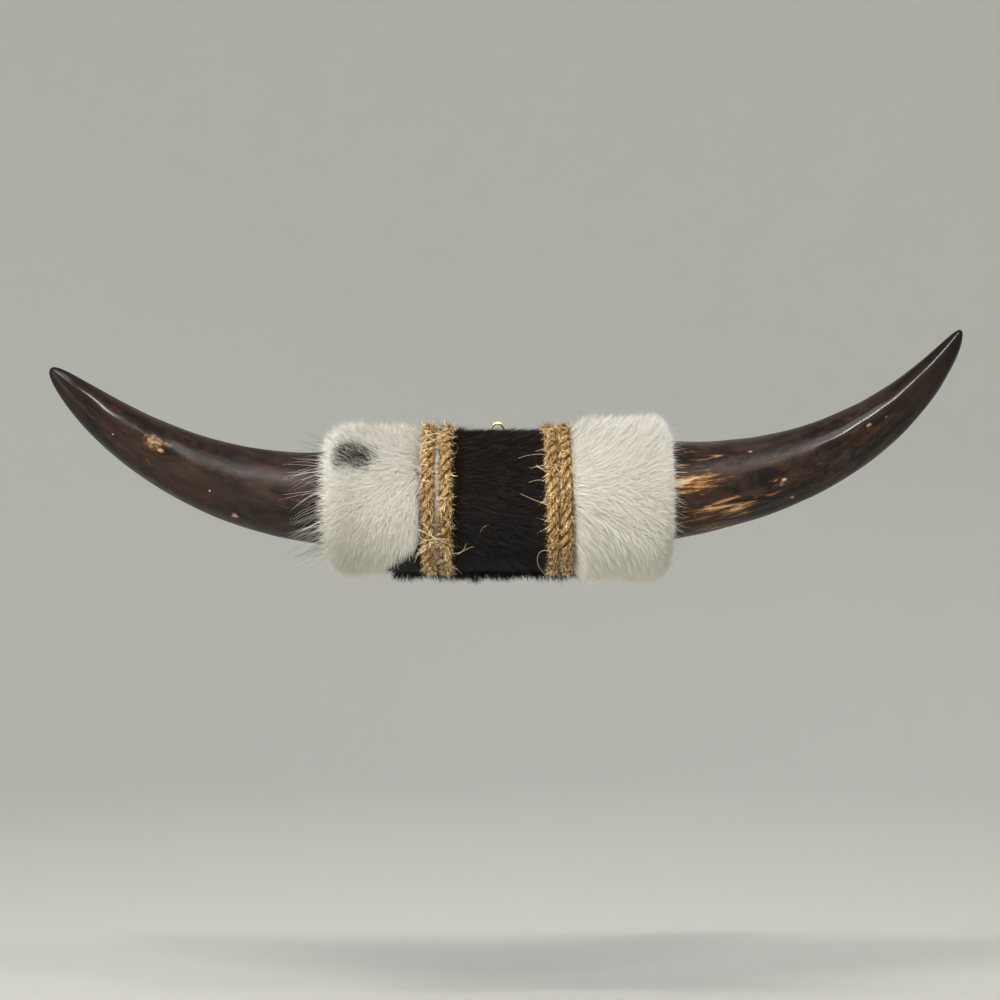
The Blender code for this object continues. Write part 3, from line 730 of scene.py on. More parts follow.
def white_undercoat(word):
    """The skin and felted undercoat of a white hide: thin under the ropes, full along the block and
    folded in over its end to the horn."""
    horn = HORNS[word]
    side = horn["side"]
    centre = Vector((0, AXIS_Y, horn["base_z"] * MM))
    shares = 96
    points, count = [], 0
    for j in range(shares + 1):
        share = j / shares
        row = []
        for x, depth in ((HIDE_JOINT + GAP, PRESSED), (None, PRESSED)):
            (y, z), _, _ = around_block(share, depth)
            x = x or rope_side(word, z) - 0.4 * MM
            row.append((side * x, y, z))
        row += [tuple(coat_point(word, i / COAT_COLUMNS, share)[0]) for i in range(COAT_COLUMNS + 1)]
        away = coat_point(word, 1.0, share)[2]
        rim = centre + away * (horn["base_radius"] * MM + 0.5 * MM)
        row.append((side * RIM_X, rim.y, rim.z))
        (y, z), _, _ = around_block(share, GAP)
        row += [(side * RIM_X, y, z), (side * (HIDE_JOINT + GAP), y, z)]
        count = len(row)
        points += row
    faces = []
    for j in range(shares):
        for i in range(count):
            a, b = j * count + i, j * count + (i + 1) % count
            faces.append((a, b, b + count, a + count))
    faces += [tuple(range(count)), tuple(range(shares * count, (shares + 1) * count))]
    mesh = mesh_of(f"white_skin_{word}", points, faces)
    face_outwards(mesh)
    # An along of 0.35 gives the undercoat part of the painted shade of the hair roots.
    for key, value in (("tone", 1.0), ("along", 0.35)):
        put_attribute(mesh, key, "FLOAT", np.full(len(mesh.vertices), value))
    tones = mesh.attributes["tone"].data
    for j in range(shares + 1):
        for i in range(COAT_COLUMNS + 1):
            x = abs(points[j * count + 2 + i][0])
            tones[j * count + 2 + i].value = white_lie(word, x, j / shares)[3]
    return mesh


def white_lie(word, x, share):
    """Which way white hair lies at a distance from the mount's middle and a share of the way round:
    how strongly outward and downward at the root and at the tip, its length and its tone."""
    if word == "left":
        lower = smooth(share, 0.5, 0.8)
        fan = smooth(x, 62 * MM, 96 * MM)
        upper = smooth(0.5 - share, 0.0, 0.25) * (1 - fan)
        root = (0.25 + 0.75 * fan + 0.75 * upper, 0.75 - 0.35 * fan - 0.55 * upper)
        tip = (0.35 + 0.75 * fan + 0.7 * upper, 0.8 - 0.45 * fan - 0.3 * lower - 0.5 * upper)
        spot = math.hypot((x - 88 * MM) / (15 * MM), (share - 0.348) / 0.05)
        spot += 0.35 * noise.noise(Vector((x * 220, share * 30, 0)))
        tone = 0.36 + 0.64 * smooth(spot, 0.65, 1.35)
        edge = 0.645 + 0.1 * ((x - 50 * MM) / (20 * MM)) ** 2
        edge += 0.012 * noise.noise(Vector((x * 250, share * 30, 3)))
        dark = smooth(share, edge - 0.012, edge + 0.012) * (1 - smooth(x, 69 * MM, 73 * MM))
        tone = min(tone, 1 - dark)
        size = 1 - 0.3 * dark
    else:
        lower = smooth(share, 0.42, 0.75)
        root = (0.9 - 0.6 * lower, 0.15 + 0.9 * lower)
        tip = (1.1, 0.05 + 0.45 * lower)
        tone, size = 1.0, 1.0
    return root, tip, size, tone


def unit(values):
    return tuple(Vector(values).normalized())


def white_skin(word, low, high, hair_length, beyond=HAIR_BEYOND):
    """The root surface of a white hide's hair, from one share of the way round to another. The hair
    reaches only a little beyond the coat's edge."""
    side = HORNS[word]["side"]
    top, front, under = COATS[word]["shares"]
    crowding = 1.5 if beyond > HAIR_BEYOND else 0.0

    def placed(u, v):
        share = low + (high - low) * v
        place, over, away = coat_point(word, u, share)
        x = abs(place.x)
        _, _, down = around_block(share, 0)
        root, tip, size, tone = white_lie(word, x, share)
        edge = rope_side(word, place.z)
        near_rope = 1 - smooth(x, edge, edge + 6 * MM)
        near_end = smooth(x, 78 * MM, 95 * MM)
        upper, lower = smooth(1 - share, 0.5, 0.85), smooth(share, 0.5, 0.85)
        size *= front + (top - front) * upper + (under - front) * lower
        size *= 1 - 0.15 * near_rope
        room = max(0.0, COATS[word]["edge_x"] - x)
        size = min(size, (room + beyond) / hair_length)
        rear = smooth(abs(share - 0.5), 0.45, 0.5)
        flow = Vector(unit((side * root[0], root[1] * down[0], root[1] * down[1])))
        drift = Vector(unit((side * tip[0], tip[1] * down[0], tip[1] * down[1])))
        flow = flow.lerp(Vector((side * 0.8, 0, 0)), max(near_rope, over))
        drift = drift.lerp(Vector((side * 0.9, 0, 0)) + away * 0.1, over)
        flow = flow + away * 0.2 * over - Vector((0, 0.5 * rear, 0))
        return tuple(place), {
            "flow": tuple(flow),
            "drift": tuple(drift),
            "lift": (1 + 0.3 * near_rope + 0.6 * near_end) * (1 - 0.8 * over),
            "reach": size,
            "thickness": 1.0 + crowding * near_end,
            "tone": tone,
            "loose": 1 - 0.5 * near_rope,
        }

    mesh = skin_grid(50, 60, placed)
    orient(mesh, Vector((0, AXIS_Y, 0)))
    return mesh


def orient(mesh, centre):
    """Turns a sheet's faces away from the line along X through a point."""
    outward = 0
    for face in mesh.polygons:
        away = face.center - centre
        away.x = 0
        outward += face.normal.dot(away)
    if outward < 0:
        mesh.flip_normals()


def fringe_skin(word):
    """The root surface of the long hairs that lie over the base of the horn."""
    horn = HORNS[word]
    side = horn["side"]
    centre = Vector((0, AXIS_Y, horn["base_z"] * MM))

    def placed(u, v):
        (y, z), _, down = around_block(v, 2.0 * MM)
        away = (Vector((0, y, z)) - centre).normalized()
        place = centre + away * (horn["base_radius"] * MM + (0.6 + 4.5 * u) * MM)
        place.x = side * (RIM_X + (0.6 - 3.0 * u) * MM)
        sweep = COATS[word]["fringe_sweep"]
        patchy = 0.6 + 0.8 * max(0.0, noise.noise(Vector((v * 14, side, 0))))
        flow = Vector((side, 0, 0)) + away * (0.28 + 0.3 * u) + Vector((0, *down)) * sweep
        drift = Vector((side, 0, 0)) + away * 0.02 + Vector((0, *down)) * sweep * 1.4
        return tuple(place), {
            "flow": tuple(flow.normalized()),
            "drift": tuple(drift.normalized()),
            "lift": 0.15,
            "thickness": patchy * (0.2 + 0.8 * smooth(v, 0.1, 0.3)),
            "tone": COATS[word]["fringe_tone"],
        }

    mesh = skin_grid(4, 60, placed)
    if sum(face.normal.x for face in mesh.polygons) * side < 0:
        mesh.flip_normals()
    return mesh


def gap_skin():
    """The root surface of the white hair that shows between the two ropes at the left."""

    def placed(u, v):
        x = -38.9 * MM + (u - 0.5) * 2.2 * MM
        (y, z), _, down = around_block(0.1 + 0.8 * v, 4.4 * MM)
        return (x, y, z), {"flow": (0.0, *down), "drift": (0.0, *down), "lift": 0.5, "tone": 0.85}

    mesh = skin_grid(2, 60, placed)
    orient(mesh, Vector((0, AXIS_Y, 0)))
    return mesh


def sleeve(name, low_x, high_x, depth):
    """The skin itself: a sheet bent round the block, with a cut edge at each side of the back."""
    columns = 60
    ring = [around_block(j / columns, depth)[0] for j in range(columns + 1)]
    back = [around_block(j / columns, GAP)[0] for j in range(columns, -1, -1)]
    loop = ring + back
    count = len(loop)
    points = [(x, y, z) for x in (low_x, high_x) for y, z in loop]
    faces = [(k, (k + 1) % count, count + (k + 1) % count, count + k) for k in range(count)]
    for base in (0, count):
        for j in range(columns):
            faces.append((base + j, base + j + 1, base + count - 2 - j, base + count - 1 - j))
    mesh = mesh_of(name, points, faces)
    face_outwards(mesh)
    return mesh


def number(name, description, default, **limits):
    return bpy.props.FloatProperty(name=name, description=description, default=default, **limits)


def length(name, description, default, low=0.0):
    return bpy.props.FloatProperty(
        name=name, description=description, default=default, min=low, unit="LENGTH", precision=5
    )


def colour(name, description, default):
    return bpy.props.FloatVectorProperty(
        name=name, description=description, default=default, subtype="COLOR", size=3, min=0, max=1
    )


class HornSettings(bpy.types.PropertyGroup):
    dark: colour("Dark Horn", "Colour of the darkest clouds", (0.007, 0.0045, 0.0034))
    brown: colour("Brown Horn", "Colour of the brown clouds", (0.024, 0.0135, 0.0085))
    red: colour("Red Horn", "Colour of the reddish blotches", (0.052, 0.018, 0.009))
    grey: colour("Grey Horn", "Colour of the grey clouds", (0.038, 0.029, 0.023))
    streak: colour("Streaks", "Colour of the fine streaks", (0.075, 0.045, 0.027))
    tip: colour("Tip", "Colour of the tip and of the darkest streaks", (0.008, 0.005, 0.004))
    amber: colour("Amber Patches", "Colour of the clear patches", (0.34, 0.155, 0.038))
    cream: colour("Cream Patches", "Colour of the palest patches", (0.54, 0.44, 0.30))
    roughness: number("Roughness", "How dull the polish is", 0.40, min=0.02, max=1.0, subtype="FACTOR")


class HairSettings(bpy.types.PropertyGroup):
    density: number("White Density", "White hairs for each square metre of skin", 4.9e6, min=0.0)
    white_length: length("White Length", "Length of the white hair", 0.0138)
    white_width: length("White Width", "Width of a white hair", 0.0003)
    black_density: number("Black Density", "Black hairs for each square metre of skin", 2.6e6, min=0.0)
    black_length: length("Black Length", "Length of the black hair", 0.010)
    black_width: length("Black Width", "Width of a black hair", 0.0003)
    white: colour("White Hair", "Colour of the white hair", (0.84, 0.825, 0.775))
    cream: colour("Cream Hair", "Colour of the yellower patches of white hair", (0.80, 0.775, 0.70))


class RopeSettings(bpy.types.PropertyGroup):
    lay: length("Lay", "Length along the rope in which its strands turn once", 0.023)
    fibre_length: length("Fibre Length", "Length of the loose fibres", 0.0045)
    fibre_density: number("Fibre Density", "Loose fibres for each square metre of rope", 1.0e6, min=0.0)
    # The light fibre colour is also the painted highlight on the ridges of the rope's fibre bump.
    light: colour("Light Fibre", "Colour of the palest fibres", (0.88, 0.56, 0.17))
    golden: colour("Golden Fibre", "Colour of most fibres", (0.46, 0.20, 0.034))
    # The shaded fibre colour is painted shade, for the hollows of the fibre bump and the crevices between
    # strands.
    shade: colour("Shaded Fibre", "Colour between the fibres", (0.055, 0.022, 0.006))


class HangerSettings(bpy.types.PropertyGroup):
    metal: colour("Metal", "Colour of the plated hanger", (0.75, 0.58, 0.28))
    timber: colour("Timber", "Colour of the block", (0.55, 0.37, 0.2))


class StageSettings(bpy.types.PropertyGroup):
    floor: colour("Floor", "Colour of the floor and backdrop", (0.75, 0.755, 0.715))
    key: number("Key Light", "Power of the light above the front", 22.0, min=0.0, unit="POWER")
    strip: number(
        "Strip Light", "Power of a metre of the narrow lights along the horns", 23.0, min=0.0, unit="POWER"
    )
    fill: number("Fill Light", "Power of the light beside the front", 11.0, min=0.0, unit="POWER")
    world: number("World Light", "Strength of the light from all round", 0.34, min=0.0)
    distance: length("Camera Distance", "How far the camera is from the mount", 1.283, low=0.1)


class HornsOperator(bpy.types.Operator):
    """Makes both polished horns"""

    bl_idname = "horn_mount.horns"
    bl_label = "Make Horns"

    def execute(self, context):
        settings = context.scene.horn_settings
        left = horn_material("polished_horn_left", settings, LEFT_MARKS)
        right = horn_material("polished_horn_right", settings, RIGHT_MARKS)
        for word, finish in (("left", left), ("right", right)):
            name = f"horn_{word}"
            finish_mesh(f"polished_{name}", horn_mesh(name, HORNS[word]), finish, (name,))
        return {"FINISHED"}


# The inputs of each kind of hair. Lengths are in metres.
WHITE_HAIR = {
    "tuft_pull": 0.05,
    "waviness": 0.002,
    "stray": 0.42,
    "droop": 0.08,
    "facing_spread": 0.25,
    "end_lift": 0.45,
    "segments": 2,
}
WISPS = {
    "density": 4.5e5,
    "width": 0.0002,
    "stray": 0.8,
    "facing_spread": 0.5,
    "end_lift": 0.6,
    "segments": 4,
}
FRINGE = {
    "width": 0.00014,
    "tuft_size": 0.006,
    "tuft_pull": 0.0,
    "tuft_turn": 0.1,
    "waviness": 0.005,
    "stray": 0.26,
    "droop": 0.12,
    "segments": 6,
}
BETWEEN_ROPES = {
    "density": 6.0e6,
    "length": 0.008,
    "tuft_turn": 0.2,
    "tuft_pull": 0.1,
    "stray": 0.15,
    "start_lift": 0.4,
    "end_lift": 0.1,
    "seed": 77,
}
BLACK_HAIR = {
    "tuft_size": 0.003,
    "tuft_pull": 0.2,
    "tuft_turn": 0.2,
    "waviness": 0.0015,
    "stray": 0.2,
    "droop": 0.03,
    "start_lift": 0.6,
    "end_lift": 0.2,
    "segments": 2,
}
ROPE_FIBRES = {
    "width": 0.00028,
    "tuft_size": 0.0022,
    "tuft_pull": 0.0,
    "tuft_turn": 0.9,
    "waviness": 0.002,
    "stray": 0.42,
    "droop": 0.0,
    "start_lift": 0.38,
    "end_lift": 0.0,
    "segments": 2,
}
STRAWS = {
    "density": 1.4e5,
    "length": 0.0065,
    "width": 0.00052,
    "tuft_size": 0.004,
    "tuft_pull": 0.0,
    "tuft_turn": 0.8,
    "waviness": 0.002,
    "stray": 0.4,
    "facing_spread": 0.5,
    "droop": 0.0,
    "start_lift": 0.26,
    "end_lift": -0.3,
    "segments": 3,
}
STRAW_TONE = 1.16
STRAYS = {
    "density": 3.2e4,
    "length": 0.011,
    "width": 0.00026,
    "tuft_size": 0.003,
    "tuft_pull": 0.0,
    "tuft_turn": 1.2,
    "waviness": 0.012,
    "stray": 1.1,
    "droop": 0.0,
    "start_lift": 0.8,
    "end_lift": 0.0,
    "segments": 7,
}


class WhiteHairOperator(bpy.types.Operator):
    """Makes both white hides with their long hair"""

    bl_idname = "horn_mount.white_hair"
    bl_label = "Make White Hides"

    def execute(self, context):
        settings = context.scene.hair_settings
        finish = hair_material(
            "white_cow_hair",
            # The third colour, (0.80, 0.78, 0.72), is painted shade at the roots.
            (tuple(settings.white), tuple(settings.cream), (0.80, 0.78, 0.72), (0.90, 0.89, 0.86)),
            (0.014, 0.011, 0.010),
            0.1,
            0.6,
            # Painted shade towards the bottom: how strongly it shows, and its colour.
            (0.42, (0.62, 0.585, 0.48)),
        )
        common = {"density": settings.density, "width": settings.white_width, **WHITE_HAIR}
        for i, (word, coat) in enumerate(COATS.items()):
            base = white_undercoat(word)
            finish_mesh(f"white_skin_{word}", base, finish, (f"white_hide_{word}",))
            hair_length = settings.white_length * coat["times"]
            wisp_length = hair_length * coat["wisp_times"]
            hair = common | coat["hair"] | {"length": hair_length}
            wisps = hair | WISPS | coat["wisps"] | {"length": wisp_length, "seed": 23 + i}
            layers = (
                ("upper", white_skin(word, 0.0, 0.5, hair_length), hair | {"seed": 3 + 10 * i}),
                ("lower", white_skin(word, 0.5, 1.0, hair_length), hair | {"seed": 4 + 10 * i}),
                ("wisps", white_skin(word, 0.0, 1.0, wisp_length, coat["wisp_beyond"]), wisps),
                ("fringe", fringe_skin(word), hair | FRINGE | coat["fringe"] | {"seed": 9 + i}),
            )
            for layer, roots, inputs in layers:
                grow(f"white_hair_{word}_{layer}", roots, finish, inputs)
        between = common | COATS["right"]["hair"] | BETWEEN_ROPES
        grow("white_hair_between_ropes", gap_skin(), finish, between)
        return {"FINISHED"}


def black_skin():
    """The root surface of the black hair round the middle of the mount."""
    low = -30.2 * MM
    middle, lean = ROPES["rope_right_inner"]

    def placed(u, share):
        height = around_block(share, ROPE_DEPTH)[0][1]
        high = (middle - lean * height / (BLOCK_REACH + ROPE_DEPTH) + 0.9) * MM - ROPE_RADIUS
        x = low + (high - low) * u
        start = 1 - smooth(x, low, low + 4 * MM)
        end = smooth(x, high - 6 * MM, high)
        (y, z), _, down = around_block(share, (6.2 - 1.6 * max(start, end)) * MM)
        flow = (1.0, 0.12 * down[0], 0.12 * down[1])
        return (x, y, z), {
            "flow": flow,
            "drift": flow,
            "lift": 1.0 + 1.5 * start + 1.5 * end,
            "reach": 1.0 - 0.4 * end,
        }

    mesh = skin_grid(30, 90, placed)
    orient(mesh, Vector((0, AXIS_Y, 0)))
    return mesh


def tail_skin(front):
    """The root surface of the hair on the loose end of the black hide."""

    def placed(u, v):
        x = -TAIL_HALF_WIDTH + 2 * TAIL_HALF_WIDTH * u
        z = -36.5 * MM + (TAIL_HEM_Z + 36.5 * MM) * v
        y = TAIL_FRONT_Y + 0.4 * MM if front else TAIL_REAR_Y - 0.4 * MM
        splay = 1.3 * (smooth(u, 0.93, 1.0) - smooth(1 - u, 0.93, 1.0))
        return (x, y, z), {
            "flow": (0.25 + splay, 0, -1.0),
            "drift": (0.3 + splay, 0, -1.0),
            "lift": 0.45,
            "reach": 0.7 + 0.35 * noise.noise(Vector((x * 90, v * 3, 1.0))),
        }

    mesh = skin_grid(40, 6, placed)
    if sum(face.normal.y for face in mesh.polygons) * (-1 if front else 1) < 0:
        mesh.flip_normals()
    return mesh


class BlackHairOperator(bpy.types.Operator):
    """Makes the black hide with its short hair"""

    bl_idname = "horn_mount.black_hair"
    bl_label = "Make Black Hide"

    def execute(self, context):
        settings = context.scene.hair_settings
        finish = hair_material(
            "black_cow_hair",
            # The third colour is painted shade at the roots.
            ((0.013, 0.006, 0.004), (0.008, 0.004, 0.003), (0.003, 0.0015, 0.0015), (0.022, 0.010, 0.006)),
            (0.005, 0.004, 0.004),
            0.0,
            0.55,
            # Painted shade towards the bottom: how strongly it shows, and its colour.
            (0.85, (0.005, 0.005, 0.006)),
        )
        skin = black_skin_mesh()
        finish_mesh("black_skin", skin, finish, ("black_hide",), smooth=False)
        inputs = BLACK_HAIR | {
            "density": settings.black_density,
            "length": settings.black_length,
            "width": settings.black_width,
        }
        for name, roots, seed in (
            ("black_hair", black_skin(), 41),
            ("black_hair_tail_front", tail_skin(True), 42),
            ("black_hair_tail_back", tail_skin(False), 43),
        ):
            grow(name, roots, finish, inputs | {"seed": seed})
        return {"FINISHED"}


def black_skin_mesh():
    mesh = sleeve("black_skin", -28.9 * MM, 29.4 * MM, 5.8 * MM)
    shape = bmesh.new()
    shape.from_mesh(mesh)
    shape.from_mesh(sleeve("black_skin_under_ropes", -35.2 * MM, 35.2 * MM, 3.2 * MM))
    made = bmesh.ops.create_cube(shape, size=1.0)["verts"]
    low = Vector((-TAIL_HALF_WIDTH, TAIL_FRONT_Y + 0.3 * MM, TAIL_HEM_Z))
    high = Vector((TAIL_HALF_WIDTH, TAIL_REAR_Y - 0.3 * MM, -36.4 * MM))
    for vertex in made:
        vertex.co = Vector([a + (b - a) * (c + 0.5) for a, b, c in zip(low, high, vertex.co)])
    bmesh.ops.recalc_face_normals(shape, faces=shape.faces)
    shape.to_mesh(mesh)
    shape.free()
    return mesh


YARNS = 6
LAID_RADIUS = ROPE_RADIUS * 0.93
ROPE_STEP = 0.0007


def rope_tree():
    """Lays three strands of yarn round a path, each with yarn ridges that turn the other way."""
    tree = bpy.data.node_groups.new("rope_laying", "GeometryNodeTree")
    face = tree.interface
    face.new_socket("Geometry", in_out="INPUT", socket_type="NodeSocketGeometry")
    for name, default in (("Radius", 0.004), ("Lay", 0.023), ("Step", 0.0006)):
        face.new_socket(name, in_out="INPUT", socket_type="NodeSocketFloat").default_value = default
    face.new_socket("Phase", in_out="INPUT", socket_type="NodeSocketFloat").default_value = 0.0
    face.new_socket("Finish", in_out="INPUT", socket_type="NodeSocketMaterial")
    face.new_socket("Geometry", in_out="OUTPUT", socket_type="NodeSocketGeometry")
    given = node(tree, "NodeGroupInput").outputs
    path = output(tree, "GeometryNodeMeshToCurve", {"Mesh": given["Geometry"]})
    inputs = {"Curve": path, "Length": given["Step"]}
    path = output(tree, "GeometryNodeResampleCurve", inputs, mode="LENGTH")
    tangent = output(tree, "GeometryNodeInputTangent")
    sideways = vector(tree, "SCALE", tangent, vector(tree, "DOT_PRODUCT", (1.0, 0.0, 0.0), tangent))
    sideways = vector(tree, "NORMALIZE", vector(tree, "SUBTRACT", (1.0, 0.0, 0.0), sideways))
    upright = vector(tree, "CROSS_PRODUCT", tangent, sideways)
    run = node(tree, "GeometryNodeSplineParameter").outputs["Length"]
    turns = maths(tree, "MULTIPLY", maths(tree, "DIVIDE", run, given["Lay"]), 2 * math.pi)
    join = node(tree, "GeometryNodeJoinGeometry")
    for strand in range(3):
        angle = maths(tree, "ADD", turns, maths(tree, "ADD", given["Phase"], strand * 2 * math.pi / 3))
        slackness = maths(tree, "ADD", maths(tree, "MULTIPLY", run, 120.0), 9.0 * strand)
        inputs = {"W": slackness, "Scale": 1.0, "Detail": 1.0}
        slack = output(tree, "ShaderNodeTexNoise", inputs, noise_dimensions="1D")
        away = maths(tree, "MULTIPLY", given["Radius"], fraction(tree, slack, 0.2, 0.8, 0.48, 0.58))
        along, outward = (
            vector(tree, "SCALE", axis, maths(tree, "MULTIPLY", maths(tree, wave, angle), away))
            for axis, wave in ((sideways, "COSINE"), (upright, "SINE"))
        )
        line = keep(tree, path, "run", "FLOAT", maths(tree, "ADD", run, 0.31 * strand))
        offset = vector(tree, "ADD", along, outward)
        line = output(tree, "GeometryNodeSetPosition", {"Geometry": line, "Offset": offset})
        line = keep(tree, line, "flow", "FLOAT_VECTOR", output(tree, "GeometryNodeInputTangent"))
        tilt = maths(tree, "MULTIPLY", turns, -1.6)
        line = output(tree, "GeometryNodeSetCurveTilt", {"Curve": line, "Tilt": tilt})
        thickness = maths(tree, "MULTIPLY", given["Radius"], 0.47)
        ring = output(tree, "GeometryNodeCurvePrimitiveCircle", {"Resolution": 24, "Radius": thickness})
        turn = node(tree, "GeometryNodeSplineParameter").outputs["Factor"]
        ridge = maths(tree, "SINE", maths(tree, "MULTIPLY", turn, YARNS * 2 * math.pi))
        ridge = maths(tree, "ADD", maths(tree, "MULTIPLY", ridge, 0.10), 1.0)
        ring = keep(tree, ring, "turn", "FLOAT", turn)
        ring = moved(tree, ring, vector(tree, "SCALE", position(tree), ridge))
        inputs = {"Curve": line, "Profile Curve": ring, "Fill Caps": True}
        tree.links.new(output(tree, "GeometryNodeCurveToMesh", inputs), join.inputs[0])
    made = output(tree, "GeometryNodeSetShadeSmooth", {"Geometry": join.outputs[0]})
    made = output(tree, "GeometryNodeRealizeInstances", {"Geometry": made})
    made = output(tree, "GeometryNodeSetMaterial", {"Geometry": made, "Material": given["Finish"]})
    tree.links.new(made, node(tree, "NodeGroupOutput").inputs[0])
    return tree


def rope_path(name, middle, lean):
    reach = BLOCK_REACH + ROPE_DEPTH
    count = 120
    points = []
    straight = ROPE_END_Y - AXIS_Y
    whole = 2 * straight + math.pi * reach
    for i in range(count + 1):
        run = i / count * whole
        if run < straight:
            y, z = ROPE_END_Y - run, reach
        elif run > straight + math.pi * reach:
            y, z = AXIS_Y + run - straight - math.pi * reach, -reach
        else:
            angle = (run - straight) / reach
            y, z = AXIS_Y - reach * math.sin(angle), reach * math.cos(angle)
        points.append((middle * MM - lean * MM * z / reach, y, z))
    mesh = bpy.data.meshes.new(name)
    mesh.from_pydata(points, [(i, i + 1) for i in range(count)], [])
    return mesh


def rope_material(settings):
    made, tree, shader = new_material("manila_rope")
    light, golden, shade = tuple(settings.light), tuple(settings.golden), tuple(settings.shade)
    run = attribute(tree, "run")
    turn = attribute(tree, "turn")
    inputs = {"X": maths(tree, "MULTIPLY", run, 120.0), "Y": maths(tree, "MULTIPLY", turn, 60.0)}
    fibres = noise_value(tree, output(tree, "ShaderNodeCombineXYZ", inputs), 1.0, 6, 0.65, 0.4)
    place = object_place(tree)
    blotch = noise_value(tree, place, 160.0, 4, 0.6)
    # The fibre pattern is also the bump, so this ramp paints shade into its hollows and a painted
    # highlight onto its ridges, on top of the fibres' own colour changes.
    body = ramp(tree, fibres, [(0.36, shade), (0.47, golden), (0.58, light), (0.70, (0.88, 0.70, 0.40))])
    body = mix_colour(tree, fraction(tree, blotch, 0.45, 0.75, 0.0, 0.5), body, golden)
    # Painted shade in the crevices between strands, carried by the tone attribute.
    body = mix_colour(tree, fraction(tree, attribute(tree, "tone"), 0.92, 0.64, 0.0, 0.95), body, shade)
    tree.links.new(body, shader.inputs["Base Color"])
    shader.inputs["Roughness"].default_value = 0.72
    shader.inputs["Sheen Weight"].default_value = 0.2
    add_bump(tree, shader, fibres, 0.9, 0.0006)
    return made


def fibre_material(settings):
    made, tree, shader = new_material("loose_fibre")
    light, golden, shade = tuple(settings.light), tuple(settings.golden), tuple(settings.shade)
    place = object_place(tree)
    fleck = fraction(tree, noise_value(tree, place, 480.0, 4, 0.75), 0.36, 0.64, -0.62, 0.62)
    # The tone carries the painted crevice shade of the rope beneath, so fibres rooted between strands are
    # darker. The fleck is the fibres' own colour change.
    luck = maths(tree, "ADD", fraction(tree, attribute(tree, "tone"), 0.7, 1.3), fleck)
    body = ramp(tree, luck, [(0.36, shade), (0.47, golden), (0.58, light), (0.76, (0.98, 0.81, 0.47))])
    tree.links.new(body, shader.inputs["Base Color"])
    shader.inputs["Roughness"].default_value = 0.5
    return made


# Single fibres that stand away from the ropes: each has its thickness and tone, and four control
# points of its bend. A point is (across, up, distance from the block's axis), in millimetres.
LOOSE_FIBRES = {
    "left": (
        (0.36, 1.35, (-37, -27, 51), (-44, -25, 55), (-50, -32, 58), (-53, -40, 58)),
        (0.30, 1.30, (-46, -28, 51), (-48, -30, 56), (-51, -34, 58), (-53, -37, 58)),
        (0.26, 1.15, (-28, -34, 49), (-24, -36, 50), (-21, -32, 50), (-20, -28, 49)),
        (0.22, 1.15, (-27, -34, 49), (-22, -34, 50), (-19, -30, 50), (-15, -30, 49)),
        (0.16, 0.98, (-11, -21, 47), (-10, -18, 48), (-8, -16, 48), (-5, -15.5, 47)),
        (0.26, 1.10, (-30, -43, 50), (-27, -44, 52), (-25, -45, 53), (-23, -48, 54)),
        (0.45, 1.30, (-50, 39, 50), (-43, 44, 54), (-36, 44, 54), (-28, 39, 50)),
        (0.42, 1.20, (-50, 30, 50), (-44, 35, 53), (-36, 34, 53), (-28, 31, 50)),
        (0.40, 1.35, (-50, 35, 50), (-45, 38, 53.5), (-38, 37, 53.5), (-31, 45, 51)),
        (0.36, 1.25, (-47, 45, 51), (-43, 36, 53.5), (-38, 37, 53.5), (-33, 46, 51)),
        (0.24, 1.00, (-49, 39, 50), (-54, 38, 51), (-54, 33, 51), (-49, 31, 50)),
        (0.24, 1.05, (-30, 37, 50), (-24, 37, 50), (-24, 31, 50), (-29, 29, 49)),
        (0.42, 1.30, (-50, -19, 50), (-44, -21, 53), (-36, -27, 53), (-28, -29, 50)),
        (0.42, 1.20, (-50, -28, 50), (-44, -24, 53), (-36, -24, 53), (-28, -26, 50)),
        (0.36, 1.35, (-47, -15, 50), (-42, -22, 53), (-38, -28, 53), (-33, -35, 50)),
        (0.36, 1.20, (-49, -24, 50), (-43, -27, 53), (-36, -29, 53), (-29, -34, 50)),
    ),
    "right": (
        (0.22, 1.25, (33, 28.5, 49), (27, 30, 50), (20, 29.5, 49.5), (13, 26.5, 48)),
        (0.22, 1.20, (33.5, 31, 49), (30, 32.5, 50), (27, 32.5, 50), (24.5, 31, 49)),
        (0.32, 1.30, (33, 18, 49), (30, 18, 50.5), (27, 20, 50.5), (25, 22.5, 49)),
        (0.30, 1.30, (33, 22, 49), (30, 19, 50.5), (27, 20, 50.5), (24.5, 22, 49)),
        (0.22, 1.25, (33, 11, 49), (28, 13.5, 50), (24, 13, 50), (20, 11, 48.5)),
        (0.24, 1.30, (33, -3.5, 49), (27, -1.5, 50), (21, 1, 50), (14.5, 4, 48)),
        (0.20, 1.15, (33, -13.5, 49), (30, -13, 50), (27, -11.5, 50), (24.5, -11.5, 48.5)),
        (0.26, 1.25, (33, -32.5, 49), (24, -30, 51), (23, -42, 53), (31, -48, 53)),
        (0.22, 0.90, (46, 25, 50), (51, 27, 54), (55, 29.5, 57), (60, 30, 58)),
        (0.24, 0.90, (46, 45, 51), (50, 47, 56), (53, 50, 59), (54, 58, 63)),
        (0.26, 1.00, (34, 44, 50), (30, 47, 52), (28, 44, 52), (31, 40, 50)),
        (0.28, 1.10, (44, 46, 51), (40, 50, 54), (36, 49, 54), (34, 45, 51)),
        (0.24, 1.10, (48, 14, 50), (51, 11, 51), (51, 6, 51), (48, 3, 50)),
    ),
}


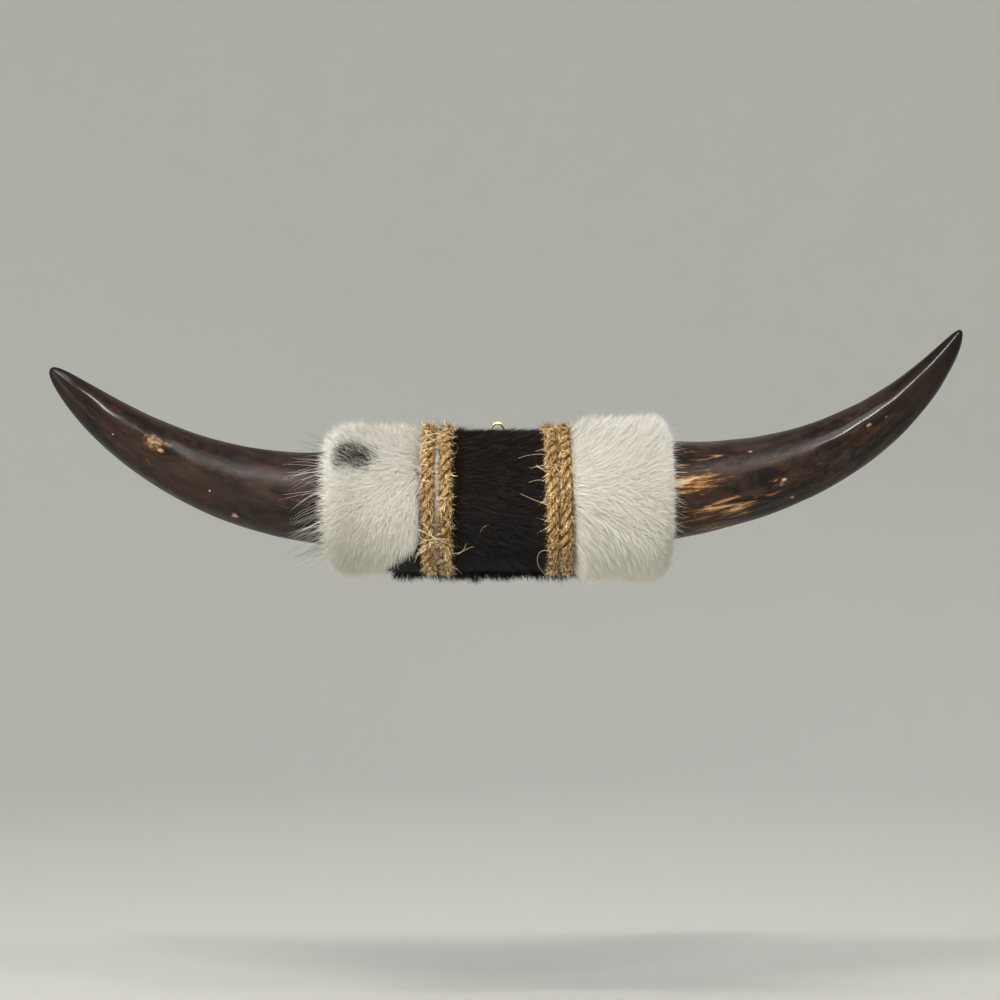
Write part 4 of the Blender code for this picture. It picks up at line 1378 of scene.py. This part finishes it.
def loose_fibre_mesh(name, fibres):
    """Thin round fibres, each swept along its bend and narrower at its free end."""
    points, faces, tones = [], [], []
    sides, steps = 5, 14
    for thickness, tone, *controls in fibres:
        bend = [
            Vector((x * MM, AXIS_Y - math.sqrt(reach**2 - z**2) * MM, z * MM)) for x, z, reach in controls
        ]
        path = interpolate_bezier(*bend, steps)
        start = len(points)
        for i, place in enumerate(path):
            ahead = (path[min(i + 1, steps - 1)] - path[max(i - 1, 0)]).normalized()
            beside = ahead.cross(Vector((0, 1, 0))).normalized()
            above = beside.cross(ahead)
            radius = thickness / 2 * MM * (1 - 0.5 * i / (steps - 1))
            for k in range(sides):
                angle = 2 * math.pi * k / sides
                points.append(place + (beside * math.cos(angle) + above * math.sin(angle)) * radius)
        for i in range(steps - 1):
            for k in range(sides):
                a, b = start + i * sides + k, start + i * sides + (k + 1) % sides
                faces.append((a, b, b + sides, a + sides))
        faces += [tuple(range(start, start + sides)), tuple(range(len(points) - sides, len(points)))]
        tones += [tone] * (sides * steps)
    mesh = mesh_of(name, points, faces)
    face_outwards(mesh)
    put_attribute(mesh, "tone", "FLOAT", tones)
    return mesh


class RopesOperator(bpy.types.Operator):
    """Lays the four ropes and their loose fibres"""

    bl_idname = "horn_mount.ropes"
    bl_label = "Make Ropes"

    def execute(self, context):
        settings = context.scene.rope_settings
        laying = rope_tree()
        finish = rope_material(settings)
        loose = fibre_material(settings)
        fibres = ROPE_FIBRES | {"density": settings.fibre_density, "length": settings.fibre_length}
        rope = {"radius": LAID_RADIUS, "lay": settings.lay, "step": ROPE_STEP, "finish": finish}
        for i, (name, (middle, lean)) in enumerate(ROPES.items()):
            inputs = rope | {"phase": 1.3 * i}
            mesh = run_tree(f"laid_{name}", laying, rope_path(name, middle, lean), inputs, ("flow",))
            put_fibre_lie(mesh, middle, lean)
            roots, pale = mesh.copy(), mesh.copy()
            pale.attributes["tone"].data.foreach_set("value", np.full(len(pale.vertices), STRAW_TONE))
            for spare in LIE:
                if spare != "tone":
                    mesh.attributes.remove(mesh.attributes[spare])
            finish_mesh(f"laid_{name}", mesh, finish, (name,))
            grow(f"fibres_{name}", roots.copy(), loose, fibres | {"seed": 60 + i})
            grow(f"straws_{name}", pale, loose, STRAWS | {"seed": 100 + i})
            grow(f"strays_{name}", roots, loose, STRAYS | {"seed": 80 + i})
        for word, fibres in LOOSE_FIBRES.items():
            name = f"loose_fibres_{word}"
            finish_mesh(name, loose_fibre_mesh(name, fibres), loose)
        return {"FINISHED"}


def put_fibre_lie(mesh, middle, lean):
    """Loose fibres lie along the strands. Those deep between two strands get a darker tone, painted shade
    for the crevices between strands.
    """
    count = len(mesh.vertices)
    place = np.empty(count * 3, dtype=np.float32)
    mesh.vertices.foreach_get("co", place)
    x, y, z = place.reshape(-1, 3).T
    reach = BLOCK_REACH + ROPE_DEPTH
    beside = x - (middle - lean * z / reach) * MM
    above = np.where(y > AXIS_Y, np.abs(z), np.hypot(y - AXIS_Y, z)) - reach
    deep = np.hypot(beside, above) / ROPE_RADIUS
    # Painted shade: the tone falls towards the rope's middle, in the crevices between strands.
    tones = 0.58 + 0.40 * np.clip((deep - 0.52) / 0.40, 0.0, 1.0)
    flow = np.empty(count * 3, dtype=np.float32)
    mesh.attributes["flow"].data.foreach_get("vector", flow)
    put_attribute(mesh, "drift", "FLOAT_VECTOR", flow)
    put_attribute(mesh, "tone", "FLOAT", tones)
    for name in ("lift", "reach", "thickness", "loose"):
        put_attribute(mesh, name, "FLOAT", np.ones(count))


def wood_material(settings):
    made, tree, shader = new_material("sawn_timber")
    place = object_place(tree)
    long = stretched(tree, place, (6, 60, 60))
    bend = noise_value(tree, long, 1.2, 3, 0.5, 0.8)
    rings = node(
        tree,
        "ShaderNodeTexWave",
        {"Vector": stretched(tree, place, (3, 50, 50)), "Scale": 2.4, "Distortion": 5.0, "Detail": 3.0},
        wave_type="RINGS",
        rings_direction="X",
    ).outputs["Fac"]
    fine = noise_value(tree, stretched(tree, place, (25, 900, 900)), 1.0, 4, 0.6)
    base = tuple(settings.timber)
    dark = tuple(c * 0.55 for c in base)
    pale = tuple(min(1.0, c * 1.25) for c in base)
    body = mix_colour(tree, rings, base, dark)
    body = mix_colour(tree, fraction(tree, bend, 0.4, 0.7, 0.0, 0.6), body, pale)
    body = mix_colour(tree, fraction(tree, fine, 0.45, 0.75, 0.0, 0.4), body, dark)
    tree.links.new(body, shader.inputs["Base Color"])
    shader.inputs["Roughness"].default_value = 0.78
    add_bump(tree, shader, maths(tree, "ADD", fine, maths(tree, "MULTIPLY", rings, 0.4)), 0.35, 0.0005)
    return made


def brass_material(settings):
    made, tree, shader = new_material("brass_plate")
    place = object_place(tree)
    wear = noise_value(tree, place, 260.0, 5, 0.6)
    base = tuple(settings.metal)
    body = mix_colour(tree, fraction(tree, wear, 0.35, 0.75, 0.0, 0.6), base, (0.5, 0.36, 0.17))
    tree.links.new(body, shader.inputs["Base Color"])
    tree.links.new(fraction(tree, wear, 0.3, 0.8, 0.16, 0.42), shader.inputs["Roughness"])
    shader.inputs["Metallic"].default_value = 1.0
    add_bump(tree, shader, noise_value(tree, place, 1500.0, 3, 0.6), 0.12, 0.0002)
    return made


class BlockOperator(bpy.types.Operator):
    """Finishes the timber block and the brass hanger"""

    bl_idname = "horn_mount.block"
    bl_label = "Finish Block and Hanger"

    def execute(self, context):
        settings = context.scene.hanger_settings
        wood, brass = wood_material(settings), brass_material(settings)
        for name, finish in (
            ("block", wood),
            ("hanger_strap", brass),
            ("hanger_screw", brass),
            ("hanger_ring", brass),
        ):
            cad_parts[name].material_slots[0].material = finish
        return {"FINISHED"}


# The narrow lights: the side, the middle and the width of each, in metres.
STRIP_LIGHTS = (("left", -0.35, 0.56), ("right", 0.43, 0.20))
LENS = 70.0
SENSOR_WIDTH = 36.0
CAMERA_X = 1.65 * MM
FLOOR_Z = -0.42
FLOOR_RADIUS = 1.6
FLOOR_BEND = 1.6
BACKDROP_TOP = 4.2


def stage_floor(settings):
    """A round floor that curves up into a backdrop on every side."""
    profile = [(0.0, FLOOR_Z), (FLOOR_RADIUS, FLOOR_Z)]
    steps = 12
    for i in range(1, steps + 1):
        angle = math.pi / 2 * i / steps
        radius = FLOOR_RADIUS + FLOOR_BEND * math.sin(angle)
        profile.append((radius, FLOOR_Z + FLOOR_BEND * (1 - math.cos(angle))))
    profile.append((FLOOR_RADIUS + FLOOR_BEND, BACKDROP_TOP))
    turns = 96
    points, faces = [], []
    for radius, z in profile:
        for k in range(turns):
            angle = 2 * math.pi * k / turns
            points.append((radius * math.cos(angle), radius * math.sin(angle), z))
    for i in range(len(profile) - 1):
        for k in range(turns):
            a, b = i * turns + k, i * turns + (k + 1) % turns
            faces.append((a, b, b + turns, a + turns))
    mesh = mesh_of("studio_floor", points, faces)
    mesh.shade_smooth()
    made, _, shader = new_material("pale_floor")
    shader.inputs["Base Color"].default_value = (*settings.floor, 1.0)
    shader.inputs["Roughness"].default_value = 0.9
    mesh.materials.append(made)
    floor = bpy.data.objects.new("studio_floor", mesh)
    bpy.context.scene.collection.objects.link(floor)


def area_light(name, place, target, size, power, tint=(1, 1, 1)):
    data = bpy.data.lights.new(name, "AREA")
    data.shape = "RECTANGLE"
    data.size, data.size_y = size
    data.energy = power
    data.color = tint
    light = bpy.data.objects.new(name, data)
    bpy.context.scene.collection.objects.link(light)
    light.location = place
    light.rotation_euler = (Vector(target) - Vector(place)).to_track_quat("-Z", "Y").to_euler()
    return light


class StageOperator(bpy.types.Operator):
    """Makes the floor, the lights and the camera"""

    bl_idname = "horn_mount.stage"
    bl_label = "Make Stage"

    def execute(self, context):
        settings = context.scene.stage_settings
        stage_floor(settings)
        area_light("key_light", (-0.2, -1.3, 1.6), (0, 0, 0), (1.2, 0.9), settings.key, (1.0, 0.98, 0.95))
        for side, middle, width in STRIP_LIGHTS:
            area_light(
                f"strip_light_{side}",
                (middle, -1.25, 1.05),
                (middle, 0, 0),
                (width, 0.04),
                settings.strip * width,
                (1.0, 0.96, 0.9),
            )
        area_light("fill_light", (-1.3, -1.6, 0.2), (0, 0, 0), (1.2, 1.2), settings.fill)
        area_light("back_light", (0.9, 1.7, 1.3), (0, 0, 0), (1.2, 0.8), settings.key * 0.2)
        world = bpy.data.worlds.new("studio_light")
        world.use_nodes = True
        background = world.node_tree.nodes["Background"].inputs
        background["Color"].default_value = (0.9, 0.93, 1.0, 1.0)
        background["Strength"].default_value = settings.world
        context.scene.world = world
        context.scene.view_settings.view_transform = "Standard"
        data = bpy.data.cameras.new("photo_camera")
        data.lens = LENS
        data.sensor_width = SENSOR_WIDTH
        camera = bpy.data.objects.new("photo_camera", data)
        context.scene.collection.objects.link(camera)
        camera.location = (CAMERA_X, AXIS_Y - settings.distance, 0.0)
        camera.rotation_euler = (math.pi / 2, 0, 0)
        context.scene.camera = camera
        return {"FINISHED"}


OPERATORS = (
    HornsOperator,
    WhiteHairOperator,
    BlackHairOperator,
    RopesOperator,
    BlockOperator,
    StageOperator,
)
SETTINGS = {
    "horn_settings": HornSettings,
    "hair_settings": HairSettings,
    "rope_settings": RopeSettings,
    "hanger_settings": HangerSettings,
    "stage_settings": StageSettings,
}


class HornMountPanel(bpy.types.Panel):
    """Lists the pieces of the mount and their settings"""

    bl_idname = "VIEW3D_PT_horn_mount"
    bl_label = "Horn Mount"
    bl_space_type = "VIEW_3D"
    bl_region_type = "UI"
    bl_category = "Horn Mount"

    def draw(self, context):
        for operator in OPERATORS:
            self.layout.operator(operator.bl_idname)
        for name, group in SETTINGS.items():
            box = self.layout.box()
            for key in group.__annotations__:
                box.prop(getattr(context.scene, name), key)


def register():
    for group in SETTINGS.values():
        bpy.utils.register_class(group)
    for operator in OPERATORS:
        bpy.utils.register_class(operator)
    bpy.utils.register_class(HornMountPanel)
    for name, group in SETTINGS.items():
        setattr(bpy.types.Scene, name, bpy.props.PointerProperty(type=group))


def unregister():
    for name in SETTINGS:
        delattr(bpy.types.Scene, name)
    bpy.utils.unregister_class(HornMountPanel)
    for operator in reversed(OPERATORS):
        bpy.utils.unregister_class(operator)
    for group in SETTINGS.values():
        bpy.utils.unregister_class(group)


def main():
    register()
    bpy.ops.horn_mount.stage()
    bpy.ops.horn_mount.block()
    bpy.ops.horn_mount.horns()
    bpy.ops.horn_mount.white_hair()
    bpy.ops.horn_mount.black_hair()
    bpy.ops.horn_mount.ropes()


if __name__ == "__main__":
    main()
